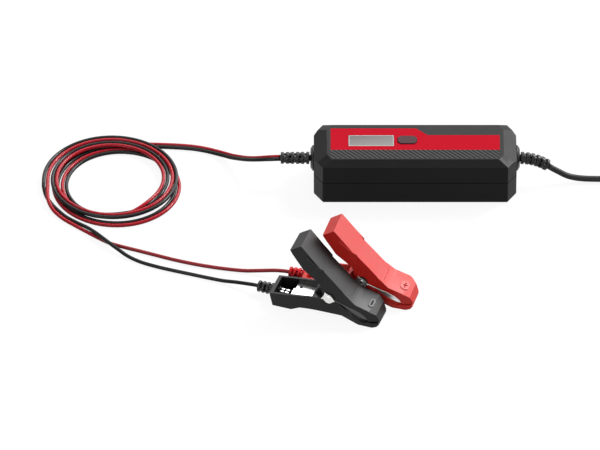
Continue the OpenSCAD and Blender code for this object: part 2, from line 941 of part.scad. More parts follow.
tray_wall = handle_wall;
slot_w = 2 * (clamp_w / 2 - handle_wall - 1.7);
ear_out = slot_w / 2 - loose;
ear_in = ear_out - steel_t - 0.3;
block_w = 2 * (ear_in - steel_t - 0.4);
plate_z = 9.8;

module lower_handle() {
    difference() {
        union() {
            intersection() {
                across_y(LOWER_SIDE, jaw_w);
                in_plan([
                    [-5, clamp_w / 2 - 1], [-2, clamp_w / 2], [19, clamp_w / 2],
                    [32, waist_w / 2 + 0.4], [62, waist_w / 2 + 0.4], [78, jaw_w / 2],
                    [92, jaw_w / 2], [jaw_tip + 1, jaw_w / 2 - 4]
                ]);
            }
            across_y([[36, 5], [36, 17], [43.6, 30], [46.4, 28], [46.4, 5]], block_w);
        }
        // The open tray at the cable end
        across_y([
            [tray_wall, handle_wall], [16.5, handle_wall], [24.4, 5.7], [36, 6.6], [36, 30],
            [tray_wall - 4, 30]
        ], clamp_w - 2 * tray_wall);
        // The slot that holds the steel jaw
        across_y([[46.4, 8], [64.5, 8], [80.5, 3], [93.5, 3], [94.5, 40], [46.4, 40]], slot_w);
        // The flat plate's way from the tray to the slot
        translate([35, -slot_w / 2, plate_z - pivot_gap])
            cube([12, slot_w, steel_t + 2 * pivot_gap]);
        translate([pivot[0], 0, pivot[1]]) {
            rod_y(lug_r + pivot_gap, jaw_w + 2);
            rod_y(9, block_w + slip);
        }
        rod_x(boot_neck_r + slip, 12, [-6, 0, wire_z]);
    }
}

module upper_handle() {
    difference() {
        intersection() {
            across_y(UPPER_SIDE, jaw_w);
            in_plan([
                [14.5, clamp_w / 2 - 2.2], [16, clamp_w / 2 - 0.6], [18.5, clamp_w / 2],
                [42, clamp_w / 2], [46, waist_w / 2], [64, waist_w / 2], [78, jaw_w / 2],
                [90, jaw_w / 2], [98.5, jaw_w / 2 - 5]
            ]);
        }
        intersection() {
            across_y(UPPER_CAVITY, slot_w + 0.6);
            in_plan([[24, slot_w], [100, slot_w]]);
        }
        translate([pivot[0], 0, pivot[1]]) rod_y(lug_r + pivot_gap, jaw_w + 2);
    }
}

// Teeth are notches cut into a plate's edge between two points
module notches(from, to, count, depth) {
    run = to - from;
    along = run / count;
    out = [-run[1], run[0]] / norm(run);
    for (k = [0 : count - 1])
        across_y([
            from + (k + 0.05) * along + 0.3 * out, from + (k + 0.95) * along + 0.3 * out,
            from + (k + 0.5) * along - depth * out
        ], clamp_w);
}

// Side views of the two steel jaws, with the edges that meet
LOWER_STEEL = [
    [47, 8.4], [64.6, 8.4], [80.6, 3.4], [93, 3.4], [93.6, 4.4], [87, 4.9], [74, 12.7],
    [66, 16.1], [57, 19.6], [47, 19.6]
];
LOWER_HOLLOW = [
    [46, 9.6], [64.9, 9.6], [80.9, 4.6], [95, 4.6], [95, 30], [46, 30]
];
UPPER_STEEL = [
    [57, 20.4], [66, 17], [74, 13.5], [87, 5.9], [92.6, 5.4], [93, 8], [92, 10.6],
    [87.4, 13.6], [74.6, 17.6], [64.8, 24.6], [54.6, 35.4], [39.5, 51.5], [36.5, 49.5],
    [46.4, 36], [47.5, 22]
];
UPPER_HOLLOW = [
    [30, 59.8], [38.6, 50.7], [53.7, 34.6], [63.9, 23.8], [74, 16.2], [87, 12.3],
    [91.2, 9.6], [91.8, 0], [30, 0]
];

module ears(w) {
    for (side = [-1, 1])
        translate([pivot[0], side * (w - steel_t) / 2, pivot[1]]) rod_y(lug_r - 0.3, steel_t);
}

module lower_jaw() {
    difference() {
        union() {
            difference() {
                across_y(LOWER_STEEL, 2 * ear_out);
                across_y(LOWER_HOLLOW, 2 * (ear_out - steel_t));
            }
            ears(2 * ear_out);
            translate([34, -ear_out, plate_z]) cube([14, 2 * ear_out, steel_t]);
            translate([16, -(clamp_w / 2 - tray_wall - loose), plate_z])
                cube([19, clamp_w - 2 * tray_wall - 2 * loose, steel_t]);
        }
        translate([pivot[0], 0, pivot[1]]) rod_y(pin_r + snug, clamp_w);
        notches([66, 16.1], [74, 12.7], 4, 1);
        notches([74, 12.7], [86.5, 5.2], 7, 1);
        post(1.6, 10, [20, 6, plate_z - 5]);
    }
}

module upper_jaw() {
    difference() {
        union() {
            difference() {
                across_y(UPPER_STEEL, 2 * ear_in);
                across_y(UPPER_HOLLOW, 2 * (ear_in - steel_t));
            }
            ears(2 * ear_in);
        }
        translate([pivot[0], 0, pivot[1]]) rod_y(pin_r + slip, clamp_w);
        notches([74, 13.5], [66, 17], 4, 1);
        notches([86.5, 6.2], [74, 13.5], 7, 1);
    }
}

module pivot_pin() {
    translate([pivot[0], 0, pivot[1]]) {
        rod_y(pin_r, clamp_w);
        for (side = [-1, 1])
            translate([0, side * (ear_out + slip + 1.6), 0]) rod_y(lug_r, 3.2);
    }
}

// A torsion spring: a straight leg, four curls around the pin, and a straight leg
spring_r = 4.3;
spring_pitch = 2;
spring_curls = 4;
spring_a0 = -17.5;
spring_a1 = 25 + 360 * spring_curls;
spring_rings = 8;

function on_spring(a) = [
    pivot[0] + spring_r * cos(a),
    spring_pitch * ((a - spring_a0) / 360 - spring_curls / 2),
    pivot[1] + spring_r * sin(a)
];

spring_path =
    let (
        n = ceil((spring_a1 - spring_a0) / 360 * spring_rings),
        curls = [for (i = [0 : n]) on_spring(spring_a0 + (spring_a1 - spring_a0) * i / n)],
        leg_down = [sin(spring_a0), 0, -cos(spring_a0)],
        leg_up = [-sin(spring_a1), 0, cos(spring_a1)]
    )
    concat(
        [curls[0] + 9 * leg_down, curls[0] + spring_wire * leg_down],
        curls,
        [last(curls) + spring_wire * leg_up, last(curls) + 18 * leg_up]
    );

module clamp_spring() {
    tube(spring_path, spring_wire, 6, [0, 1, 0]);
}

// Two pairs of wings, open at the top, grip the wire. Its tongue lies under the steel plate.
module crimp() {
    outer_r = core_d / 2 + 1.1;
    wing_l = 3;
    end_t = 1;
    difference() {
        union() {
            for (x = [crimp_x0, crimp_x1 - end_t - 2 * wing_l])
                rod_x(outer_r, wing_l, [x, 0, wire_z]);
            rod_x(outer_r, end_t, [crimp_x1 - end_t, 0, wire_z]);
            translate([crimp_x0, -1.6, wire_z - outer_r])
                cube([crimp_x1 - crimp_x0, 3.2, 1]);
            translate([crimp_x1 - end_t, -4, plate_z - steel_t]) cube([11, 8, steel_t]);
        }
        rod_x(core_d / 2 + slip, crimp_x1 - crimp_x0 - end_t + over,
            [crimp_x0 - over, 0, wire_z]);
        translate([crimp_x0 - over, -outer_r, wire_z + 1.4])
            cube([crimp_x1 - crimp_x0 - 2 * end_t + over, 2 * outer_r, outer_r]);
    }
}

boot_neck_r = 3;
boot_ribs = 4;

module boot() {
    step = (boot_l - 2) / boot_ribs;
    difference() {
        union() {
            rod_x(boot_neck_r, boot_l + 3.4, [-boot_l, 0, wire_z]);
            for (k = [0 : boot_ribs - 1])
                rod_x(boot_r - 0.1 * (boot_ribs - 1 - k), 2.4, [-boot_l + 0.4 + k * step, 0, wire_z]);
            rod_x(boot_neck_r + 1, 1.2, [2.2, 0, wire_z]);
        }
        rod_x(core_d / 2 + slip, boot_l + 6, [-boot_l - over, 0, wire_z]);
    }
}

// ---------------------------------------------------------------- mains lead and plug

wound_z = 3.1;
wound_pitch = 6;
wound_r = 42;
wound_turns = 6.25;
wound_at = [225, -42];

function mains_point(t) =
    let (
        half = wound_turns / 2,
        a = 90 - 360 * t,
        r = wound_r - wound_pitch * (half - abs(t - half)),
        climb = ease((t - half + 0.25) / 0.5)
    )
    [wound_at[0] + r * cos(a), wound_at[1] + r * sin(a), wound_z + wound_pitch * climb];

mains_first = mains_point(0);
mains_last = mains_point(wound_turns);
mains_wound = concat(
    [mains_first - [mains_d, 0, 0]],
    [for (i = [0 : wound_turns * rings_per_turn]) mains_point(i / rings_per_turn)],
    [mains_last - [0, mains_d, 0]]
);

MAINS_ROUTE = [
    [128.3, 0, 11.2], [134, 0, 7.6], [141, 0, 5], [150, 0, 3.6], [161, 0, wound_z],
    [174, 0, wound_z], [187, 0, wound_z], [200, 0, wound_z]
];
mains_run = concat(
    [mains_exit],
    curve(concat([mains_exit + mains_d * mains_dir], MAINS_ROUTE,
        [mains_first - [2 * mains_d, 0, 0]]), 2),
    [mains_first - [mains_d, 0, 0]]
);

// The plug lies flat, with its pins towards -Y
plug_back = -120;
plug_sleeve = 12;
PLUG_ROUTE = [
    [267, -60, 8], [267, -68, 6.3], [267, -76, 4.8], [267, -85, 4], [267, -95, 4.4],
    [267, -104, 5.8]
];
mains_out = concat(
    [mains_last - [0, mains_d, 0]],
    curve(concat([mains_last - [0, 2 * mains_d, 0]], PLUG_ROUTE,
        [[mains_last[0], plug_back + mains_d, plug_t / 2]]), 2),
    [[mains_last[0], plug_back, plug_t / 2]]
);

module at_plug() {
    translate([mains_last[0], plug_back, plug_t / 2]) rotate([0, 0, -90]) children();
}

module plug_body() {
    x0 = plug_sleeve;
    x1 = plug_sleeve + plug_l;
    w = plug_w / 2;
    color("#262628") at_plug() difference() {
        union() {
            rod_x(3.8, plug_sleeve + 4, [0, 0, 0]);
            for (k = [0 : 3])
                rod_x(4.3 + 0.25 * k, 1.8, [1 + 2.9 * k, 0, 0]);
            translate([0, 0, -plug_t / 2])
                linear_extrude(plug_t)
                    polygon(plan_of([
                        [x0, 6], [x0 + 6, 9.5], [x0 + 15, 11.5], [x1 - 10, w - 1.2],
                        [x1 - 5, w], [x1, w]
                    ]));
        }
        for (side = [-1, 1])
            rod_x(contact_root_r + snug, 9, [x1 - 8, side * contact_pitch / 2, 0]);
    }
}

// The pins are turned down where the body is moulded round them
contact_root_r = contact_r - 0.4;

module plug_pins() {
    x1 = plug_sleeve + plug_l;
    color(STEEL) at_plug()
        for (side = [-1, 1]) {
            rod_x(contact_r, contact_l, [x1, side * contact_pitch / 2, 0]);
            rod_x(contact_root_r, 8 + over, [x1 - 8, side * contact_pitch / 2, 0]);
        }
}

tie_w = 10;
tie_t = 0.6;
tie_turn = 200;

module coil_tie() {
    lo = wound_r - wound_pitch * wound_turns / 2 - mains_d / 2 - loose;
    hi = wound_r + mains_d / 2 + loose;
    top = wound_z + wound_pitch + mains_d / 2 + loose;
    color("#2f2f31")
        translate([wound_at[0], wound_at[1], 0])
            rotate([90, 0, tie_turn])
                translate([0, 0, -tie_w / 2])
                    linear_extrude(tie_w)
                        difference() {
                            translate([lo - tie_t, 0]) square([hi - lo + 2 * tie_t, top + tie_t]);
                            translate([lo, tie_t]) square([hi - lo, top - tie_t]);
                        }
}

// ---------------------------------------------------------------- measures

echo(dc_lead_mm = path_length(dc_lead), dc_coil_mm = path_length(dc_coil),
    red_tail_mm = path_length(red_path), black_tail_mm = path_length(black_path));
echo(mains_lead_mm = path_length(mains_run), mains_coil_mm = path_length(mains_wound),
    mains_end_mm = path_length(mains_out));
echo(red_core_gap = self_gap(coil_red, core_d, 12), black_core_gap = self_gap(coil_black, core_d, 12));
echo(between_cores_gap = pair_gap(coil_red, coil_black, core_d));
echo(mains_coil_gap = self_gap(mains_wound, mains_d, 12));
echo(spring_gap = self_gap(spring_path, spring_wire, 5));

// ---------------------------------------------------------------- nodes

base_shell();
top_shell();
case_seal();
case_screws();
face_label();
patterned_band();
display_window();
lcd_module();
display_board();
display_screws();
mode_button();
tact_switch();
switch_plunger();
main_board();
board_screws();
ribbon_cable();
transformer_core();
transformer_winding();
mains_capacitor();
output_capacitors();
bridge_rectifier();
filter_choke();
heatsink();
power_transistors();
fuse();
dc_gland();
mains_gland();
gland_nuts();
dc_strain_relief();
mains_strain_relief();
inner_wires();
color(CORE_RED) tube(core_path(dc_lead, 1), core_d, 8);  // dc_lead_red
color(CORE_BLACK) tube(core_path(dc_lead, -1), core_d, 8);  // dc_lead_black
color(CORE_RED) tube(coil_red, core_d, 6);  // dc_coil_red
color(CORE_BLACK) tube(coil_black, core_d, 6);  // dc_coil_black
color(CORE_RED) tube(red_path, core_d, 8);  // red_tail
color(CORE_BLACK) tube(black_path, core_d, 8);  // black_tail
color(RUBBER) tube(mains_run, mains_d, 10);  // mains_lead
color(RUBBER) tube(mains_wound, mains_d, 6);  // mains_coil
color(RUBBER) tube(mains_out, mains_d, 10);  // mains_end
coil_tie();
plug_body();
plug_pins();
color(CLAMP_BLACK) place(black_at, black_turn) lower_handle();  // black_lower_handle
color(CLAMP_BLACK) place(black_at, black_turn) upper_handle();  // black_upper_handle
color(STEEL) place(black_at, black_turn) lower_jaw();  // black_lower_jaw
color(STEEL) place(black_at, black_turn) upper_jaw();  // black_upper_jaw
color(STEEL) place(black_at, black_turn) pivot_pin();  // black_pivot_pin
color(STEEL) place(black_at, black_turn) clamp_spring();  // black_spring
color(STEEL) place(black_at, black_turn) crimp();  // black_crimp
color(RUBBER) place(black_at, black_turn) boot();  // black_boot
color(CLAMP_RED) place(red_at, red_turn) lower_handle();  // red_lower_handle
color(CLAMP_RED) place(red_at, red_turn) upper_handle();  // red_upper_handle
color(STEEL) place(red_at, red_turn) lower_jaw();  // red_lower_jaw
color(STEEL) place(red_at, red_turn) upper_jaw();  // red_upper_jaw
color(STEEL) place(red_at, red_turn) pivot_pin();  // red_pivot_pin
color(STEEL) place(red_at, red_turn) clamp_spring();  // red_spring
color(STEEL) place(red_at, red_turn) crimp();  // red_crimp
color(CLAMP_RED) place(red_at, red_turn) boot();  // red_boot
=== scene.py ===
"""A small car battery charger with two spring clamps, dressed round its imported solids.
Everything is in metres, in the frame of the solids."""

import json
import math

import bmesh
import bpy
from mathutils import Matrix, Vector
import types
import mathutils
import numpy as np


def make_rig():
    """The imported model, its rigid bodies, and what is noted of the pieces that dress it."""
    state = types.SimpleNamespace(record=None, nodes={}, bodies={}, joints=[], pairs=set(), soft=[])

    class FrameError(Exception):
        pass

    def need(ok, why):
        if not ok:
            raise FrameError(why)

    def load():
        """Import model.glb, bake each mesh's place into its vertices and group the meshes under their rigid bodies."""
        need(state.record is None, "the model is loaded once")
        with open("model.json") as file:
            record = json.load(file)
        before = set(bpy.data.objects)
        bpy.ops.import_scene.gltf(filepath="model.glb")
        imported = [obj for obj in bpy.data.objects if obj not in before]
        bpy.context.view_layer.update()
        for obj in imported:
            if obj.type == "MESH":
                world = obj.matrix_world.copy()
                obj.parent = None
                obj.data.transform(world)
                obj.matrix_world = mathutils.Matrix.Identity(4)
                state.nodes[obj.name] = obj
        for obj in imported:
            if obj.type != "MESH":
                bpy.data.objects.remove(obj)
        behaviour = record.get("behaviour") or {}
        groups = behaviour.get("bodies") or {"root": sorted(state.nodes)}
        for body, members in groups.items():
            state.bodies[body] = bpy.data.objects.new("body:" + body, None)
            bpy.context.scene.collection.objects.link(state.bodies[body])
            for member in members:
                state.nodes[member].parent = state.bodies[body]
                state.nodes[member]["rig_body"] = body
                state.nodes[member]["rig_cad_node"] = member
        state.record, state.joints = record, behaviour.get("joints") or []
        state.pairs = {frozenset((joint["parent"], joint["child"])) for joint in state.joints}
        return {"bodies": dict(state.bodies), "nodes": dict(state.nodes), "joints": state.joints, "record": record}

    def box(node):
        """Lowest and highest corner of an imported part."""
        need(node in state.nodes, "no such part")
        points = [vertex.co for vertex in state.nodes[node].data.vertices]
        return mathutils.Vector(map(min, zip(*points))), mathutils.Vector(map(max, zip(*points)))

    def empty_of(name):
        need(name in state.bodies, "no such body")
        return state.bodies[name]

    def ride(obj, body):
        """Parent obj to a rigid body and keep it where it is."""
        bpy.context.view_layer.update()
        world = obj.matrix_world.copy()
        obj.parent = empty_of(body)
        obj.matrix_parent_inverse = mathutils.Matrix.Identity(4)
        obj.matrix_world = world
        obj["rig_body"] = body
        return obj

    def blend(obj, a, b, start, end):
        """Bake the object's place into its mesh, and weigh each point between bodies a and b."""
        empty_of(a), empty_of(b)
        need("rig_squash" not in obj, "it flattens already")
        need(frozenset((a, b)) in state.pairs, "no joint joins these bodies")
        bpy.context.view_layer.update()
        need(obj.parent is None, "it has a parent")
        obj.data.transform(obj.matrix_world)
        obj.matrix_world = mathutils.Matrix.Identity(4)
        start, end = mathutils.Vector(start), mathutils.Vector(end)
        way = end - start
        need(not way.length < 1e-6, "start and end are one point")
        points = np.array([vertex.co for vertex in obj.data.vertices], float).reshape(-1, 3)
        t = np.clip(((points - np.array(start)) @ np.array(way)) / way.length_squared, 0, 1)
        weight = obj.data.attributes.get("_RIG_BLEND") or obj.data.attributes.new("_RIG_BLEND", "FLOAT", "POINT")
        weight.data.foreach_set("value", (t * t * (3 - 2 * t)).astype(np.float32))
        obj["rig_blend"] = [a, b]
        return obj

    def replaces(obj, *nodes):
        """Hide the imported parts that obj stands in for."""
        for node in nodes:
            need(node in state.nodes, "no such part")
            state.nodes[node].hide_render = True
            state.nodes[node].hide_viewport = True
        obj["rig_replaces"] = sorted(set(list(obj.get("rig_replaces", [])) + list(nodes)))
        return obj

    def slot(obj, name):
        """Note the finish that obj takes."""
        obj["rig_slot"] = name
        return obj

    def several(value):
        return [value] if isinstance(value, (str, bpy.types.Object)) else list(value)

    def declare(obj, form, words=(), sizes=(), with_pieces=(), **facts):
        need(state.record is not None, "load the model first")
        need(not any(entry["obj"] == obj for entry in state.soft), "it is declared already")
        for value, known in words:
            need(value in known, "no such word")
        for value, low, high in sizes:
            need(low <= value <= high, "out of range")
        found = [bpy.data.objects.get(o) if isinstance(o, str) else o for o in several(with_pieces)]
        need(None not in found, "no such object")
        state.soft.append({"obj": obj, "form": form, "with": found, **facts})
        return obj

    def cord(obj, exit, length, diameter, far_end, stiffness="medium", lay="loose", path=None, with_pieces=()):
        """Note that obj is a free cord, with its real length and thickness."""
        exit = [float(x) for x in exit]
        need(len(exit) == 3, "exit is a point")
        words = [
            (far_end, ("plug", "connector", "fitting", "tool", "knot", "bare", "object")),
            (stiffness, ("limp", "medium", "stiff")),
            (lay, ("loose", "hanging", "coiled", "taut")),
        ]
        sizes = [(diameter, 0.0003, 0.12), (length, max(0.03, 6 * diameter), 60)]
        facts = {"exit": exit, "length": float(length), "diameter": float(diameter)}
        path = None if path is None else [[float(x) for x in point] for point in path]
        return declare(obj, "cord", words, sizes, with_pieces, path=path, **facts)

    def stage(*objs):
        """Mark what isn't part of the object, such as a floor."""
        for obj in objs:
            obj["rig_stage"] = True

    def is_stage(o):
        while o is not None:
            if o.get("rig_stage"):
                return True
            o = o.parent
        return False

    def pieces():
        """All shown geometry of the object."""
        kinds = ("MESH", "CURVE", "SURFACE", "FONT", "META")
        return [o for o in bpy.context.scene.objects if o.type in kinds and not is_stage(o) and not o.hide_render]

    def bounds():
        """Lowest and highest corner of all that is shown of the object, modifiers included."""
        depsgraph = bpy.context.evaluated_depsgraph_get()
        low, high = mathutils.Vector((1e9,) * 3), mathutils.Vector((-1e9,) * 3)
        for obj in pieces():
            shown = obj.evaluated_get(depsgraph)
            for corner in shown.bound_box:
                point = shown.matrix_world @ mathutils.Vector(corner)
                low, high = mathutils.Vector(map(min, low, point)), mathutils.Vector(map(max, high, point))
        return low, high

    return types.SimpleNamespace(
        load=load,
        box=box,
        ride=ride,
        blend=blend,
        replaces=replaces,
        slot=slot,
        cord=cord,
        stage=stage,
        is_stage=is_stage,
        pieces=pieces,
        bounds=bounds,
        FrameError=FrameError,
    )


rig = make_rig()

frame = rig.load()
nodes = frame["nodes"]
solid_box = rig.bounds()
scene = bpy.context.scene

# ------------------------------------------------------------------------------ camera
# A long lens looks down on the table from the front, with the case to the right of the
# middle, so that the whole twin lead is in view and the mains lead runs out of it.
PICTURE_WIDTH = 0.531
PICTURE_CENTRE = Vector((-0.1022, -0.0614, 0))
CAMERA_RISE = math.radians(39)
CAMERA_DISTANCE = 8.0

camera_data = bpy.data.cameras.new("camera")
camera_data.lens = camera_data.sensor_width * CAMERA_DISTANCE / PICTURE_WIDTH
camera_data.clip_end = 2 * CAMERA_DISTANCE
camera = bpy.data.objects.new("camera", camera_data)
towards_camera = Vector((0, -math.cos(CAMERA_RISE), math.sin(CAMERA_RISE)))
camera.location = PICTURE_CENTRE + CAMERA_DISTANCE * towards_camera
camera.rotation_euler = (math.pi / 2 - CAMERA_RISE, 0, 0)
scene.collection.objects.link(camera)
scene.camera = camera
scene.view_settings.view_transform = "Standard"


# ------------------------------------------------------------------ twin lead and tails
# Two round PVC cores, one red and one black, moulded side by side. The pair leaves the
# case, lies in a loose coil of a little over three turns, and forks into two single tails.
CORE = 0.0034
CORE_PITCH = 0.0036
LEAD_Z = 0.00175
TURN_PITCH = 0.0078
TURN_RADIUS = 0.058
LAYER = 0.0039
TURNS_IN, TURNS_HOLD, TURNS_OUT = 1.4, 0.3, 1.55
CLIMB_TURNS, SHIFT_TURNS = 0.2, 0.25
LOW_CENTRE = Vector((-0.2635, -0.0085))
HIGH_CENTRE = Vector((-0.2692, -0.0026))
POINTS_PER_TURN = 72
ROUTE_STEPS = 8
RELIEF_LENGTH = 0.027
GLAND_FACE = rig.box("mains_gland")[1].x
GLAND_Z = (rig.box("dc_gland")[0].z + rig.box("dc_gland")[1].z) / 2

# Each point is x, y, z and the pair's roll in degrees about its own line
LEAD_ROUTE = [
    (-0.126, 0, 0.0268, 0), (-0.132, 0.0015, 0.0253, 0), (-0.138, 0.0045, 0.0225, 0),
    (-0.144, 0.009, 0.0187, 0), (-0.150, 0.0145, 0.0146, 0), (-0.156, 0.0205, 0.0107, 0),
    (-0.163, 0.027, 0.007, 0), (-0.170, 0.0335, 0.0042, 0), (-0.178, 0.039, 0.0025, 0),
    (-0.187, 0.0433, 0.0018, 0), (-0.197, 0.046, LEAD_Z, 0), (-0.208, 0.0476, LEAD_Z, 0),
    (-0.220, 0.0486, LEAD_Z, 0), (-0.232, 0.0492, LEAD_Z, 0), (-0.244, 0.0495, LEAD_Z, 0),
]
FORK_ROUTE = [
    (-0.3282, -0.014, 0.0052, 165), (-0.327, -0.024, 0.0044, 110), (-0.324, -0.034, 0.0034, 50),
    (-0.319, -0.043, 0.0022, 10), (-0.311, -0.053, LEAD_Z, 0), (-0.301, -0.062, 0.0019, -10),
    (-0.291, -0.071, 0.0028, -40), (-0.282, -0.080, 0.0036, -80),
]
BLACK_ROUTE = [
    (-0.273, -0.0895, 0.005), (-0.264, -0.0985, 0.0038), (-0.254, -0.1075, 0.0022),
    (-0.243, -0.115, LEAD_Z), (-0.229, -0.1215, LEAD_Z), (-0.214, -0.127, LEAD_Z),
    (-0.199, -0.132, LEAD_Z), (-0.184, -0.137, LEAD_Z), (-0.170, -0.1418, 0.0022),
    (-0.157, -0.1468, 0.0044),
]
RED_ROUTE = [
    (-0.271, -0.0885, LEAD_Z), (-0.259, -0.094, LEAD_Z), (-0.245, -0.0995, LEAD_Z),
    (-0.230, -0.1055, LEAD_Z), (-0.215, -0.1115, LEAD_Z), (-0.199, -0.117, LEAD_Z),
    (-0.183, -0.1215, LEAD_Z), (-0.167, -0.125, LEAD_Z), (-0.151, -0.1278, 0.0021),
    (-0.137, -0.1298, 0.0038), (-0.124, -0.1322, 0.006),
]

# Where each clamp lies: the middle of its cable end on the floor, and its turn
CLAMPS = {
    "black": (Vector((-0.122, -0.1605, 0)), math.radians(-19.5)),
    "red": (Vector((-0.0945, -0.1405, 0)), math.radians(-16.5)),
}
WIRE_Z = 0.007
BOOT_LENGTH = 0.018
CRIMP_FROM, CRIMP_TO = 0.0035, 0.013


def ease(u):
    u = min(max(u, 0), 1)
    return u * u * (3 - 2 * u)


def smooth_route(route, steps):
    """A curve through every point of a route, in steps pieces from point to point."""
    points = [Vector(p) for p in route]
    ends = [points[0], *points, points[-1]]
    line = []
    for a, b, c, d in zip(ends, ends[1:], ends[2:], ends[3:]):
        for k in range(steps):
            t = k / steps
            line.append(
                0.5 * (2 * b + (c - a) * t + (2 * a - 5 * b + 4 * c - d) * t**2
                       + (3 * b - a - 3 * c + d) * t**3)
            )
    return [*line, points[-1]]


def headings(line):
    """The unit direction of a line at each of its points."""
    line = [Vector(p[:3]) for p in line]
    return [
        (line[min(i + 1, len(line) - 1)] - line[max(i - 1, 0)]).normalized()
        for i in range(len(line))
    ]


def core_line(pair, sign):
    """The line of one core of the pair, from the pair's own line with its roll."""
    up = Vector((0, 0, 1))
    return [
        Vector(p[:3]) + sign * CORE_PITCH / 2
        * (math.cos(math.radians(p[3])) * way.cross(up).normalized()
           + math.sin(math.radians(p[3])) * up)
        for p, way in zip(pair, headings(pair))
    ]


def coil_point(turns):
    """The coil winds inwards, holds its radius, climbs on itself and winds outwards."""
    angle = math.radians(90 + 360 * turns)
    outwards = max(TURNS_IN - turns, 0) + max(turns - TURNS_IN - TURNS_HOLD, 0)
    radius = TURN_RADIUS + TURN_PITCH * (outwards - TURNS_IN)
    climb_from = TURNS_IN + TURNS_HOLD - CLIMB_TURNS
    climb = ease((turns - climb_from) / CLIMB_TURNS)
    shift = ease((turns - climb_from + CLIMB_TURNS) / SHIFT_TURNS)
    centre = LOW_CENTRE.lerp(HIGH_CENTRE, shift)
    return Vector((
        centre.x + radius * math.cos(angle), centre.y + radius * math.sin(angle),
        LEAD_Z + LAYER * climb, 180 * climb,
    ))


coil_turns = TURNS_IN + TURNS_HOLD + TURNS_OUT
coil_steps = round(coil_turns * POINTS_PER_TURN)
coil = [coil_point(i / POINTS_PER_TURN) for i in range(coil_steps + 1)]
lead_exit = Vector((-GLAND_FACE - RELIEF_LENGTH, 0, GLAND_Z, 0))
step_x, step_y = Vector((CORE, 0, 0, 0)), Vector((0, CORE, 0, 0))
lead = [
    lead_exit,
    *smooth_route(
        [lead_exit - step_x, *(Vector(p) for p in LEAD_ROUTE), coil[0] + 2 * step_x],
        ROUTE_STEPS,
    ),
    coil[0] + step_x,
]


def clamp_line(colour):
    """The last straight stretch of a tail, through the boot and into the crimp."""
    at, turn = CLAMPS[colour]
    along = Vector((math.cos(turn), math.sin(turn), 0))
    stops = (-BOOT_LENGTH - CORE, -BOOT_LENGTH, -BOOT_LENGTH / 2, 0, CRIMP_FROM, CRIMP_TO)
    return [at + x * along + Vector((0, 0, WIRE_Z)) for x in stops]


def core_end(sign, route, colour):
    """One core from the coil to its clamp, and the place in it where the pair forks."""
    fork = [coil[-1] - 2 * step_y, *(Vector(p) for p in FORK_ROUTE)]
    into = clamp_line(colour)
    line = smooth_route(
        [*core_line(fork, sign), *(Vector(p) for p in route), into[0]], ROUTE_STEPS
    )
    return [*line, *into[1:]], ROUTE_STEPS * (len(fork) - 1)


def loft(bm, rings, index=0, smooth=False, loop=False):
    """Skins over rings of points, with a cap at each end or joined in a loop."""
    made = [[bm.verts.new(point) for point in ring] for ring in rings]
    faces = [] if loop else [bm.faces.new(made[0][::-1]), bm.faces.new(made[-1])]
    for ring, after in zip(made, made[1:] + made[:1] if loop else made[1:]):
        for k in range(len(ring)):
            n = (k + 1) % len(ring)
            faces.append(bm.faces.new((ring[k], ring[n], after[n], after[k])))
    for face in faces:
        face.material_index = index
        face.smooth = smooth


def round_angles(sides):
    return [2 * math.pi * k / sides for k in range(sides)]


def tube(bm, line, radius, sides=12, index=0, across=Vector((0, 0, 1)), flat=1.0):
    """Adds a closed tube along a line to a bmesh. across is a way that the line never takes,
    and flat is the tube's thickness over its width."""
    rings = []
    for point, way in zip(line, headings(line)):
        side = way.cross(across).normalized()
        lift = side.cross(way)
        rings.append([
            Vector(point[:3]) + radius * (math.cos(a) * side + flat * math.sin(a) * lift)
            for a in round_angles(sides)
        ])
    loft(bm, rings, index, smooth=True)


def piece(name, bm, *materials):
    """Turns a bmesh into an object with its normals outwards."""
    bmesh.ops.recalc_face_normals(bm, faces=bm.faces)
    mesh = bpy.data.meshes.new(name)
    bm.to_mesh(mesh)
    bm.free()
    for material in materials:
        mesh.materials.append(material)
    made = bpy.data.objects.new(name, mesh)
    scene.collection.objects.link(made)
    return made


def length_of(line):
    return sum((Vector(b[:3]) - Vector(a[:3])).length for a, b in zip(line, line[1:]))


